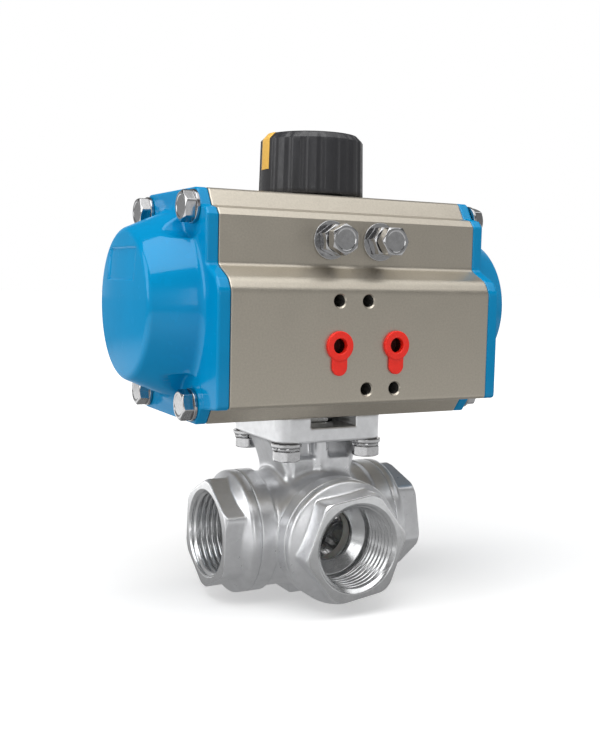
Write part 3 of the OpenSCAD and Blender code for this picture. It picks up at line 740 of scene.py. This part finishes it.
def spring_washer(outer, inner, thick, gap_deg=9, steps=70):
    """Split ring whose ends stand slightly apart."""
    theta = np.linspace(math.radians(gap_deg / 2), TAU - math.radians(gap_deg / 2), steps)
    soft = 0.15
    section = [(inner, soft), (inner + soft, 0), (outer - soft, 0), (outer, soft),
               (outer, thick - soft), (outer - soft, thick), (inner + soft, thick), (inner, thick - soft)]
    points = [(r * math.cos(t), r * math.sin(t), z) for t in theta for r, z in section]
    count = len(section)
    faces = grid_faces(steps, count).tolist()
    for first in (0, (steps - 1) * count):
        faces += [(first, first + 1, first + 2, first + 3), (first, first + 3, first + 4, first + 7),
                  (first + 4, first + 5, first + 6, first + 7)]
    return np.array(points), np.array(faces)


def fastener_piece(name, node, shape, places, body="housing"):
    """Copies of one shape at their places, as one piece that stands for a CAD node."""
    piece = make_mesh(name, *joined([placed(shape, m) for m in places]))
    finish_piece(piece, body, "bright_fastener", node)


def cap_screw_places(side, x):
    """Four places on an end cap, pointing outwards; side is -1 for the left cap."""
    return [at(side * x, y, BORE_Z + z, (90 * side, "Y"), (spin, "Z"))
            for y, z, spin in ((CAP_SCREW_Y, CAP_SCREW_Z, 8), (-CAP_SCREW_Y, CAP_SCREW_Z, 19),
                               (CAP_SCREW_Y, -CAP_SCREW_Z, 30), (-CAP_SCREW_Y, -CAP_SCREW_Z, 46))]


def build_fasteners():
    flat_washer = washer(M6_WASHER_R, M6_R + 0.2, M6_WASHER_T)
    head_y = UPPER_FACE_Y - STOP_HEAD_OUT
    for side, word in ((-1, "left"), (1, "right")):
        fastener_piece(f"{word}_cap_screw_set", f"{word}_cap_screws", hex_bolt(CAP_SCREW_LENGTH),
                       cap_screw_places(side, CAP_FACE_X + M6_WASHER_T))
        fastener_piece(f"{word}_cap_washer_set", f"{word}_cap_washers", flat_washer,
                       cap_screw_places(side, CAP_FACE_X))
        fastener_piece(f"{word}_stop_bolt_m6", f"{word}_stop_bolt", hex_bolt(-head_y - CAM_R),
                       [at(side * STOP_X, head_y, STOP_Z, (90, "X"), (15 * side + 15, "Z"))],
                       f"{word}_stop_bolt")
    fastener_piece("stop_nut_pair", "stop_nuts", hex_solid(M6_NUT, M6_R),
                   [at(side * STOP_X, UPPER_FACE_Y - M6_WASHER_T, STOP_Z, (90, "X"), (15 + 8 * side, "Z"))
                    for side in (-1, 1)])
    fastener_piece("stop_washer_pair", "stop_washers", washer(STOP_WASHER_R, M6_R + 0.06, M6_WASHER_T),
                   [at(side * STOP_X, UPPER_FACE_Y, STOP_Z, (90, "X")) for side in (-1, 1)])
    pads = [(sx * PAD_BOLT, sy * PAD_BOLT) for sx in (-1, 1) for sy in (-1, 1)]
    head_z = PAD_LOW_Z - PAD_WASHER_T - SPRING_WASHER_T
    fastener_piece("pad_bolt_set", "pad_bolts", hex_bolt(PAD_BOLT_LENGTH),
                   [at(x, y, head_z, (180, "X"), (20, "Z")) for x, y in pads])
    fastener_piece("pad_spring_washer_set", "pad_spring_washers",
                   spring_washer(SPRING_WASHER_R, M6_R + 0.1, SPRING_WASHER_T),
                   [at(x, y, head_z, (200 + 50 * i, "Z")) for i, (x, y) in enumerate(pads)])
    fastener_piece("pad_flat_washer_set", "pad_flat_washers", washer(M6_WASHER_R, M6_R + 0.2, PAD_WASHER_T),
                   [at(x, y, PAD_LOW_Z - PAD_WASHER_T) for x, y in pads])


# ---- Valve body casting ----

# Radius, foot and top of the stem's bores: thrust seat, stem, packing and the room for the nut
STEM_BORES = [(8.3, PORT_Z, 48.5), (6.06, PORT_Z, PAD_TOP_Z + 3),
              (8.5, 55, PAD_TOP_Z + 3), (10.8, 64, PAD_TOP_Z + 3)]


def port_cavity(radial, along):
    """Ball room, joint thread and gasket recess of one port."""
    room = rod(radial, along, BALL_ROOM_R, -1, 17.5, 0.3)
    joint = rod(radial, along, JOINT_R, 16, 32, 0.3)
    return np.minimum(np.minimum(room, joint), rod(radial, along, GASKET_R, COLLAR_END - 1, 33, 0.2))


def neck_field(x, y, z):
    """Stem column on its plinth, with the webs and ribs that carry the pad."""
    column = rod(np.hypot(x, y), z, 10.4, 30, 64)
    plinth = rounded_and(block2(x, y, 13.5, 14, 2), np.maximum(30 - z, z - 55.5), 0.8)
    reach = smooth_max(13.5 + (z - 40) * 0.1, 14.5 + (z - 50) * 0.5185, 3)
    depth = 13.5 - np.clip(z - 47, 0, 17) * 0.2424
    web = rounded_and((np.abs(x) - reach) * 0.9, np.abs(y) - depth, 2.2)
    web = rounded_and(web, np.abs(z - 49) - 15, 0.5)
    rib = np.maximum(np.hypot(x, np.maximum(np.abs(y) - 12, 0)) - 3.5, np.abs(z - 50) - 14)
    return smooth_min(smooth_min(smooth_min(column, rib, 0.9), plinth, 1.6), web, 1.6)


def valve_field(x, y, z):
    """The cast valve body with its three port collars, neck and pad."""
    up = z - PORT_Z
    from_run, from_branch = np.hypot(y, up), np.hypot(x, up)
    run = rod(from_run, np.abs(x), HOUSING_R, -1, COLLAR_START + 1, 0.6)
    branch = rod(from_branch, -y, HOUSING_R, 0, COLLAR_START + 1, 0.6)
    boss = rod(from_branch, y, 18, 0, 25.7, 1.6)
    shell = smooth_min(smooth_min(run, branch, 4.5), boss, 3)
    collars = np.minimum(rod(from_run, np.abs(x), COLLAR_R, COLLAR_START, COLLAR_END, 0.55),
                         rod(from_branch, -y, COLLAR_R, COLLAR_START, COLLAR_END, 0.55))
    shell = smooth_min(shell, collars, 1.0)
    lug = rounded_and(block2(x, y, 10, 8, 1.5), np.abs(z - 5) - 5, 0.8)
    shell = smooth_min(shell, lug, 1.5)
    pad = rounded_and(block2(x, y, PAD_HALF, PAD_HALF, 6), np.maximum(PAD_LOW_Z - z, z - PAD_TOP_Z), 0.8)
    shell = smooth_min(smooth_min(shell, neck_field(x, y, z), 3.5), pad, 1.6)
    cavity = np.minimum(port_cavity(from_run, np.abs(x)), port_cavity(from_branch, -y))
    cavity = np.minimum(cavity, rod(from_branch, y, SEAT_R, -1, 19.5, 0.2))
    axis = np.hypot(x, y)
    channel = rounded_and(np.abs(x) - 10, (PAD_TOP_Z - 4.4) - z, 0.4)
    from_bolt = np.hypot(np.abs(x) - PAD_BOLT, np.abs(y) - PAD_BOLT)
    holes = rod(from_bolt, z, M6_R + 0.3, PAD_LOW_Z - 2, PAD_TOP_Z + 2, 0.1)
    cuts = np.minimum(cavity, np.minimum(channel, holes))
    for r, low, high in STEM_BORES:
        cuts = np.minimum(cuts, rod(axis, z, r, low, high, 0.1))
    return smooth_max(shell, -cuts, 0.35)


def build_valve_body():
    low, high = node_mm("valve_body")
    points, faces = surface_net(valve_field, low - 1.3, high + 1.3, 0.58)
    piece = make_mesh("valve_body_casting", points, faces)
    finish_piece(piece, "housing", "cast_stainless", "valve_body")


# ---- Screwed end pieces ----

HEX_CRISP = 34
SHOULDER_START = 34.0
MOUTH_R = THREAD_MAJOR_R + 0.35
THREAD_DEPTH = THREAD_MAJOR_R - THREAD_MINOR_R
THREAD_END = 26.0

# Radius and distance from the valve's centre: thread relief, shoulder, funnel, flow way, seat pocket, spigot
THROAT = [
    (16.7, 25.9), (16.9, 25.7), (16.9, 24.3), (16.7, 24.1), (15.2, 24.0), (14.75, 23.95), (14.5, 23.8),
    (10.6, 21.75), (10.25, 21.5), (10.05, 21.2), (FLOW_R, 20.8), (FLOW_R, 19.7), (10.1, 19.5), (15.8, 19.5),
    (SEAT_R, 19.4), (SEAT_R, 17.2), (16.2, 17.0), (16.9, 17.0), (19.8, 19.9), (19.95, 20.3),
]


def connector_rows(phase_deg, columns=216):
    """Outer surface, port face, thread, throat and spigot of one end piece, from the joint ring round."""
    theta = round_angles(columns)
    six = hex_radius(theta - math.radians(phase_deg + 30), PORT_HEX, HEX_CRISP)
    corner_r = PORT_HEX / math.sqrt(3)
    pairs = [(JOINT_R, COLLAR_END), (COLLAR_R - 0.5, COLLAR_END), (COLLAR_R - 0.15, COLLAR_END + 0.15),
             (COLLAR_R, COLLAR_END + 0.5), (COLLAR_R, 32.4), (COLLAR_R - 0.1, 33.3), (COLLAR_R - 0.45, 33.8)]
    for s in np.concatenate([np.linspace(SHOULDER_START, 38.2, 13), np.linspace(38.8, PORT_REACH - 1.9, 4),
                             np.linspace(PORT_REACH - 1.5, PORT_REACH - 0.25, 6)]):
        shoulder = COLLAR_R - 0.65 - (s - SHOULDER_START) * 1.7
        chamfer = corner_r - 1.55 + (PORT_REACH - s) * 1.25
        pairs.append((smooth_min(smooth_max(six, shoulder, 0.6), chamfer, 0.5), s))
    face_edge = pairs[-1][0]
    pairs += [(face_edge - inset, PORT_REACH - back) for inset, back in ((0.12, 0.08), (0.35, 0), (1.0, 0))]
    face_rows = len(pairs) - 2
    pairs += [(MOUTH_R + 0.45, PORT_REACH), (MOUTH_R + 0.15, PORT_REACH), (MOUTH_R, PORT_REACH - 0.12)]
    for s in np.arange(PORT_REACH - 0.35, THREAD_END, -G1_PITCH / 14):
        fade = np.clip((s - THREAD_END - 0.2) / 1.2, 0, 1)
        thread = THREAD_MINOR_R + THREAD_DEPTH * thread_rise(theta, s, G1_PITCH)
        thread = thread * fade + (1 - fade) * np.maximum(thread, THREAD_MINOR_R + 0.4)
        pairs.append((np.maximum(thread, MOUTH_R - (PORT_REACH - s)), s))
    pairs += THROAT + [(19.95, COLLAR_END - 0.3)]
    return turned_rows(pairs, columns), face_rows


def build_connectors():
    """Three equal end pieces, each turned as far as its thread pulled it up."""
    frames = (("left", (-90, "Y"), 56, 0), ("right", (90, "Y"), 48, 0), ("branch", (90, "X"), 8, 1))
    turned = [turned_stainless("turned_along_run", 0), turned_stainless("turned_along_branch", 1)]
    for word, turn, phase, axis in frames:
        rows, face_row = connector_rows(phase)
        points, faces = placed(spun(rows, closed=True), at(0, 0, PORT_Z, turn))
        piece = raw_mesh(f"{word}_end_piece", points, faces.tolist())
        piece.data.shade_smooth()
        for look in (SLOT_LOOK["cast_stainless"], turned[axis]):
            piece.data.materials.append(look)
        machined = (np.arange(len(faces)) // rows.shape[1] >= face_row - 1).astype(int)
        piece.data.polygons.foreach_set("material_index", machined)
        if measured_volume(piece) < 0:
            piece.data.flip_normals()
        finish_piece(piece, "housing", "cast_stainless", f"{word}_connector")


def measured_volume(piece):
    work = bmesh.new()
    work.from_mesh(piece.data)
    volume = work.calc_volume(signed=True)
    work.free()
    return volume


# ---- Actuator body ----

def extruded_body():
    """The extrusion as rings of outline points along X, its ends slightly chamfered."""
    outline = rounded_outline(BODY_PATH)
    middle = np.array([-5.6, BORE_Z])
    rings = []
    end = ((BODY_HALF, 0.25), (BODY_HALF - 0.1, 0.08), (BODY_HALF - 0.25, 0), (BODY_HALF - 0.6, 0))
    for x, inset in [(-x, inset) for x, inset in end] + list(reversed(end)):
        ring = middle + (outline - middle) * (1 - inset / 41)
        rings.append(np.column_stack([np.full(len(ring), x), ring]))
    count = len(outline)
    faces = grid_faces(len(rings), count).tolist()
    faces.append(list(range(count)))
    faces.append([(len(rings) - 1) * count + i for i in reversed(range(count))])
    return raw_mesh("actuator_extrusion", np.concatenate(rings), faces)


def air_port_cutter(columns=48, pitch=0.907, thread_depth=0.5):
    """Solid that cuts one tapped air port with its plain mouth, from z = 0 downwards."""
    theta = round_angles(columns)
    pairs = [(0, 1), (5.2, 1), (5.2, 0), (4.9, -0.3), (4.9, -5)]
    for z in np.linspace(-5.02, -12, 54):
        pairs.append((AIR_R + thread_depth * thread_rise(theta, z, pitch), z))
    pairs += [(AIR_R, -12.05), (0, -14.5)]
    return spun(turned_rows(pairs, columns))


ISLAND_SCREWS = [(-AIR_X, AIR_Z + ISLAND_HALF), (0, AIR_Z + ISLAND_HALF),
                 (0, AIR_Z - ISLAND_HALF), (AIR_X, AIR_Z - ISLAND_HALF)]


def body_cutters():
    """Holes in the body as three groups; cutters of one group don't touch each other."""
    front = (90, "X")
    cuts = [placed(m5_cutter(), at(x, FRONT_Y, z, front, (7, "Z"))) for x, z in ISLAND_SCREWS]
    for side in (-1, 1):
        cuts.append(placed(air_port_cutter(), at(side * AIR_X, FRONT_Y, AIR_Z, front)))
        cuts.append(placed(plain_cutter(M6_R + 0.1, -26, 1), at(side * STOP_X, UPPER_FACE_Y, STOP_Z, front)))
        for y in (-CAP_SCREW_Y, CAP_SCREW_Y):
            for z in (-CAP_SCREW_Z, CAP_SCREW_Z):
                place = at(side * BODY_HALF, y, BORE_Z + z, (90 * side, "Y"))
                cuts.append(placed(plain_cutter(M6_R, -14, 1, 32), place))
        for y in (-ACCESSORY_Y, ACCESSORY_Y):
            cuts.append(placed(m5_cutter(), at(side * ACCESSORY_X, y, BODY_TOP_Z)))
        for y in (-PAD_BOLT, PAD_BOLT):
            cuts.append(placed(plain_cutter(M6_R, -9, 1, 32), at(side * PAD_BOLT, y, PAD_TOP_Z, (180, "X"))))
    bore = placed(plain_cutter(BORE_R, -BODY_HALF - 1, BODY_HALF + 1, 160), at(0, 0, BORE_Z, (90, "Y")))
    shafts = [placed(plain_cutter(LOWER_SHAFT_R, -1, 12, 64), at(0, 0, PAD_TOP_Z)),
              placed(plain_cutter(UPPER_SHAFT_R, -12, 1, 48), at(0, 0, BODY_TOP_Z))]
    return [bore, joined(cuts), joined(shafts)]


def cut_out(piece, cutters):
    """Subtracts each cutter from the piece with exact booleans and applies them."""
    for points, faces in cutters:
        tool = make_mesh("cutter", points, faces)
        change = piece.modifiers.new("cut", "BOOLEAN")
        change.operation = "DIFFERENCE"
        change.solver = "EXACT"
        change.object = tool
        graph = bpy.context.evaluated_depsgraph_get()
        result = bpy.data.meshes.new_from_object(piece.evaluated_get(graph))
        piece.modifiers.clear()
        old = piece.data
        piece.data = result
        bpy.data.meshes.remove(old)
        bpy.data.objects.remove(tool)


def build_actuator_body():
    piece = extruded_body()
    cut_out(piece, body_cutters())
    piece.data.materials.clear()
    piece.data.materials.append(SLOT_LOOK["anodised_body"])
    holes = [(x, z, 2.9) for x, z in ISLAND_SCREWS] + [(x, AIR_Z, 5.3) for x in (-AIR_X, AIR_X)]
    # Painted shade down the tapped holes and air ports
    paint_shade_in_holes(piece, painted_hole_shade(), holes, 0.6)
    piece.data.shade_smooth()
    piece.data.set_sharp_from_angle(angle=math.radians(38))
    finish_piece(piece, "housing", "anodised_body", "actuator_body")


# ---- End caps ----

def cap_field_maker():
    """Distance field of the right end cap: profiled flange, coned dome with a low crown, screw seats."""
    profile = rounded_outline(BODY_PATH, support=0.01)
    outline = OutlineTable(profile, (-50, PAD_TOP_Z - 4), (40, BODY_TOP_Z + 4))
    flange_mid = (BODY_HALF + CAP_FACE_X) / 2
    flange_half = (CAP_FACE_X - BODY_HALF) / 2
    taper = (DOME_BASE_R - DOME_EDGE_R) / (DOME_FACE_X - CROWN_H - CAP_FACE_X)

    def field(x, y, z):
        radial = np.hypot(y, z - BORE_Z)
        flange = rounded_and(outline(y, z), np.abs(x - flange_mid) - flange_half, 0.85)
        side = (radial - (DOME_BASE_R - (x - CAP_FACE_X) * taper)) / math.hypot(1, taper)
        crown = DOME_FACE_X - CROWN_H * (radial / DOME_EDGE_R) ** 2
        dome = rounded_and(side, np.maximum(x - crown, BODY_HALF + 1 - x), 1.5)
        shell = smooth_min(flange, dome, 2.4)
        seat = np.hypot(np.abs(y) - CAP_SCREW_Y, np.abs(z - BORE_Z) - CAP_SCREW_Z)
        spot = rounded_and(seat - SCREW_SEAT_R, (CAP_FACE_X - 0.02) - x, 0.9)
        shell = smooth_max(shell, -spot, 0.6)
        label = block2(y, z - LABEL_Z, LABEL_W / 2, LABEL_H / 2, 0.6)
        label = rounded_and(label, (crown - LABEL_SUNK) - x, 0.1)
        shell = smooth_max(shell, -label, 0.25)
        hollow_r = HOLLOW_R - np.clip(x - CAP_FACE_X, -3, 20) * 0.26
        hollow = rounded_and(radial - hollow_r, x - (DOME_FACE_X - 5), 1.5)
        hollow = np.minimum(hollow, np.maximum(radial - CAP_MOUTH_R, x - (BODY_HALF + 3)))
        groove = np.maximum(np.abs(radial - GROOVE_MID_R) - 1, x - (BODY_HALF + 1.5))
        screw_hole = seat - (M6_R + 0.3)
        return smooth_max(shell, -np.minimum(np.minimum(hollow, groove), screw_hole), 0.3)

    return field


def build_end_caps():
    field = cap_field_maker()
    low, high = node_mm("right_end_cap")
    points, faces = surface_net(field, low - 1.2, high + 1.2, 0.55)
    for side, word in ((1, "right"), (-1, "left")):
        piece = make_mesh(f"{word}_cap_casting", points * (side, 1, 1), faces[:, ::side])
        finish_piece(piece, "housing", "cap_paint", f"{word}_end_cap")


# ---- Transport plugs ----

PLUG_DISC_R, PLUG_WELL_R, PLUG_TAB_R, PLUG_TAB_REACH = 5.3, 2.75, 3.1, 7.6


def plug_field(x, y, z):
    """One plug about its own axis: z outwards from the face, y up; the pull tab hangs down."""
    radial = np.hypot(x, y)
    disc = rod(radial, z, PLUG_DISC_R, -0.3, 1.3, 0.35)
    along = np.clip(-y, 0, PLUG_TAB_REACH)
    tab = rounded_and(np.hypot(x, y + along) - PLUG_TAB_R, np.maximum(-z, z - 0.95), 0.3)
    stub = rod(radial, z, 4.85 - 0.05 * np.clip(-z, 0, 5), -4.8, 0.5, 0.4)
    ribs = 0.12 * np.cos(np.clip(-z, 0, 4) * TAU / 1.3) * (z < -0.6)
    shell = smooth_min(smooth_min(disc, tab, 0.5), stub + ribs * 0.5, 0.25)
    well = rod(radial, z, PLUG_WELL_R, -4, 5, 0.2)
    return smooth_max(shell, -well, 0.5)


def build_plugs():
    points, faces = surface_net(plug_field, (-6, -11.4, -5.4), (6, 6, 2), 0.2)
    well = plug_well()
    for side, word in ((-1, "left"), (1, "right")):
        shape = placed((points, faces), at(side * AIR_X, FRONT_Y, AIR_Z, (90, "X")))
        piece = make_mesh(f"{word}_plug_moulding", *shape)
        piece.data.materials.append(SLOT_LOOK["plug_plastic"])
        paint_shade_in_holes(piece, well, [(side * AIR_X, AIR_Z, 3.0)], 0.9)
        finish_piece(piece, f"{word}_port_plug", "plug_plastic", f"{word}_port_plug")


# ---- Position indicator ----

# Radius and height at the foot, at the chamfer and at the top of the knob
KNOB_PROFILE = [(KNOB_R + 0.5, KNOB_LOW_Z), (KNOB_R, KNOB_TOP_Z - 2.5), (KNOB_R - 2.2, KNOB_TOP_Z)]


def build_indicator(flutes=20, columns=360):
    """The knob with scalloped flutes down its side, none under the pointer, hollow from below."""
    theta = round_angles(columns)
    from_flute = np.abs((theta * flutes / TAU + 0.5) % 1 - 0.5) * 360 / flutes
    away_from_pointer = np.abs(theta % TAU - math.pi) > math.radians(10)
    dip = FLUTE_DEPTH * np.clip(1 - (from_flute / FLUTE_HALF_DEG) ** 2, 0, 1) * away_from_pointer
    (low_r, low_z), (high_r, high_z), (top_r, top_z) = KNOB_PROFILE
    pairs = [(SKIRT_R, low_z), (low_r - 0.3 - dip, low_z), (low_r - dip, low_z + 0.3)]
    for t in (0.1, 0.3, 0.5, 0.7, 0.9):
        pairs.append(((low_r + (high_r - low_r) * t) - dip, low_z + (high_z - low_z) * t))
    pairs += [(high_r - dip, high_z), (high_r - 0.12 - dip * 0.9, high_z + 0.25),
              (top_r + 0.35 - dip * 0.25, top_z - 0.5), (top_r - 0.15, top_z), (top_r - 1.2, top_z),
              (5.6, top_z), (5.0, top_z - 0.15), (4.6, top_z - 0.6), (4.6, top_z - 4), (2.2, top_z - 4),
              (2.2, low_z + 13), (8.2, low_z + 13), (8.2, low_z + 1.5), (9.9, low_z + 1.5),
              (9.9, low_z + 20), (SKIRT_R, low_z + 20)]
    piece = make_mesh("indicator_knob", *spun(turned_rows(pairs, columns), closed=True))
    finish_piece(piece, "drive_train", "knob_plastic", "indicator")


def build_pointer():
    """Inlaid bar that follows the knob's side, chamfer and top on its -X side, standing slightly proud."""
    half_width, proud, sunk = 3.0, 0.16, 0.8
    (low_r, low_z), (high_r, high_z), (top_r, top_z) = KNOB_PROFILE
    foot_z = KNOB_TOP_Z - POINTER_DROP
    foot_r = low_r + (high_r - low_r) * (foot_z - low_z) / (high_z - low_z)
    path = np.array([(foot_r, foot_z), (high_r, high_z), (top_r, top_z), (top_r - 10.5, top_z)])
    path_out = path + np.array([(proud, 0), (proud, 0.1), (0.1, proud), (0, proud)])
    path_in = path + np.array([(-sunk, 0), (-sunk, -sunk), (-sunk, -sunk), (0, -sunk)])
    across = np.array([-1, -0.96, -0.88, -0.5, 0, 0.5, 0.88, 0.96, 1]) * half_width
    lift = np.array([0.35, 0.08, 0, 0, 0, 0, 0, 0.08, 0.35]) * proud
    stations = []
    for i, (a, b) in enumerate(zip(path_out[:-1], path_out[1:])):
        for t in ((0, 0.03, 0.5, 0.97) if i < 2 else (0, 0.03, 0.5, 0.98, 1)):
            stations.append((a * (1 - t) + b * t, path_in[i] * (1 - t) + path_in[i + 1] * t))
    points = []
    for outer, inner in stations:
        for y, low in zip(across, lift):
            r, z = outer[0] - low, outer[1] - (low if outer[1] > KNOB_TOP_Z - 0.01 else 0)
            points.append((-math.sqrt(max(r * r - y * y, 0)), y, z))
        for y in across[::-1]:
            points.append((-math.sqrt(max(inner[0] ** 2 - y * y, 0)), y, inner[1]))
    ring = 2 * len(across)
    faces = grid_faces(len(stations), ring).tolist()
    faces += [list(range(ring)), list(range(len(points) - 1, len(points) - 1 - ring, -1))]
    piece = make_mesh("indicator_inlay", points, faces)
    piece.data.set_sharp_from_angle(angle=math.radians(50))
    finish_piece(piece, "drive_train", "pointer_plastic", "indicator_pointer")


# ---- Stage ----

# Brightness of the table and the room as the object sees them; the table glows, and the first value is a
# painted shadow under the object
TABLE_PAINTED_SHADOW, TABLE_FRONT, TABLE_BACK, TABLE_FAR = 0.30, 0.84, 1.45, 0.34
HORIZON, BACKDROP, CEILING = 0.42, 1.0, 0.12


def node_tree_helpers(tree):
    """Two short cuts: a math node and a smooth map-range node, each returning its output."""
    def math_node(operation, a, b):
        return add_node(tree, "Math", a, b, operation=operation).outputs[0]

    def ranged(source, from_low, from_high, to_low, to_high):
        return add_node(tree, "MapRange", source, from_low, from_high, to_low, to_high,
                        interpolation_type="SMOOTHSTEP").outputs["Result"]

    return math_node, ranged


def floor_material():
    """White paper to the camera; to the object a glowing table, brighter behind on the left, darker further
    off, with a painted shadow under the object.
    """
    material = bpy.data.materials.new("floor_paper")
    material.use_nodes = True
    tree = material.node_tree
    math_node, ranged = node_tree_helpers(tree)
    place = add_node(tree, "NewGeometry").outputs["Position"]
    far = add_node(tree, "VectorMath", place, operation="LENGTH").outputs["Value"]
    x, y, _ = add_node(tree, "SeparateXYZ", place).outputs
    backward = math_node("ADD", math_node("MULTIPLY", x, -0.6), math_node("MULTIPLY", y, 0.8))
    ring = ranged(math_node("DIVIDE", backward, far), -0.5, 0.5, TABLE_FRONT, TABLE_BACK)
    # Painted shadow: the table's glow falls to its lowest right under the object
    beside = math_node("MULTIPLY", ranged(far, 0.07, 0.3, 0, 1), math_node("SUBTRACT", ring, TABLE_PAINTED_SHADOW))
    near = math_node("ADD", beside, TABLE_PAINTED_SHADOW)
    away = ranged(far, 0.55, 1.1, 0, 1)
    glow = math_node("ADD", near, math_node("MULTIPLY", away, math_node("SUBTRACT", TABLE_FAR, near)))
    paper = tree.nodes["Principled BSDF"]
    for socket, value in (("Base Color", (0.8, 0.8, 0.8, 1)), ("Roughness", 1.0),
                          ("Specular IOR Level", 0.0), ("Emission Color", (1, 1, 1, 1))):
        paper.inputs[socket].default_value = value
    tree.links.new(ranged(far, 0.15, 0.8, 0.36, 1.0), paper.inputs["Emission Strength"])
    table = add_node(tree, "Emission")
    tree.links.new(glow, table.inputs["Strength"])
    seen = add_node(tree, "LightPath").outputs["Is Camera Ray"]
    pick = add_node(tree, "MixShader", seen, table.outputs[0], paper.outputs[0])
    tree.links.new(pick.outputs[0], tree.nodes["Material Output"].inputs["Surface"])
    return material


def build_floor():
    bpy.ops.mesh.primitive_plane_add(size=12, location=(0, 0, -0.0004))
    floor = bpy.context.object
    floor.name = "floor"
    floor.data.materials.append(floor_material())


def area_light(name, place, target, size, power):
    data = bpy.data.lights.new(name, "AREA")
    data.shape = "RECTANGLE"
    data.size, data.size_y = size
    data.energy = power
    lamp = linked(name, data)
    lamp.location = place
    lamp.rotation_euler = (Vector(target) - Vector(place)).to_track_quat("-Z", "Y").to_euler()


def build_world():
    """White to the camera; to the object a studio with a pale backdrop low behind it and a dark ceiling."""
    world = bpy.data.worlds.new("studio")
    bpy.context.scene.world = world
    world.use_nodes = True
    tree = world.node_tree
    math_node, ranged = node_tree_helpers(tree)
    x, y, z = add_node(tree, "SeparateXYZ", add_node(tree, "TexCoord").outputs["Generated"]).outputs
    behind = math_node("ADD", math_node("MULTIPLY", x, 0.47), math_node("MULTIPLY", y, 0.88))
    horizon = ranged(behind, 0.72, 0.94, HORIZON, BACKDROP)
    upper = ranged(z, 0.2, 0.5, 0, 1)
    glow = math_node("ADD", horizon, math_node("MULTIPLY", upper, math_node("SUBTRACT", CEILING, horizon)))
    seen = add_node(tree, "LightPath").outputs["Is Camera Ray"]
    strength = math_node("ADD", glow, math_node("MULTIPLY", seen, math_node("SUBTRACT", 1, glow)))
    tree.nodes["Background"].inputs["Color"].default_value = (1, 1, 1, 1)
    tree.links.new(strength, tree.nodes["Background"].inputs["Strength"])


def build_lights():
    """Two soft boxes overhead, the left one brighter, a side light on the left and a faint front fill."""
    middle = (0, 0, 0.1)
    area_light("overhead_left", (-0.33, -0.28, 0.9), (-0.33, -0.28, 0), (0.95, 0.9), 8.6)
    area_light("overhead_right", (0.53, -0.3, 0.9), (0.53, -0.3, 0), (0.75, 0.9), 2.6)
    area_light("left", (-0.9, 0.1, 0.45), middle, (0.5, 0.6), 2.3)
    area_light("front", (-0.35, -1.1, 0.32), middle, (0.4, 0.4), 0.9)


CAMERA_PLACE = (-0.1893, -0.3503, 0.1260)
CAMERA_YAW, CAMERA_PITCH, CAMERA_ROLL = 27.99, 5.11, 1.23
LENS_MM = 48.6


def build_camera():
    yaw, pitch, roll = (math.radians(a) for a in (CAMERA_YAW, CAMERA_PITCH, CAMERA_ROLL))
    back = Vector((-math.sin(yaw) * math.cos(pitch), -math.cos(yaw) * math.cos(pitch), math.sin(pitch)))
    right = (-back).cross(Vector((0, 0, 1))).normalized()
    up = right.cross(-back)
    side = right * math.cos(roll) + up * math.sin(roll)
    head = up * math.cos(roll) - right * math.sin(roll)
    data = bpy.data.cameras.new("camera")
    data.lens = LENS_MM
    camera = linked("camera", data)
    turned = Matrix((side, head, back)).transposed().to_4x4()
    camera.matrix_world = Matrix.Translation(CAMERA_PLACE) @ turned
    data.clip_start, data.clip_end = 0.01, 50
    bpy.context.scene.camera = camera


dress_cad_nodes()
build_camera()
build_floor()
build_world()
build_lights()
build_actuator_body()
build_end_caps()
build_valve_body()
build_connectors()
build_fasteners()
build_plugs()
build_indicator()
build_pointer()

bpy.context.scene.view_settings.view_transform = "Standard"
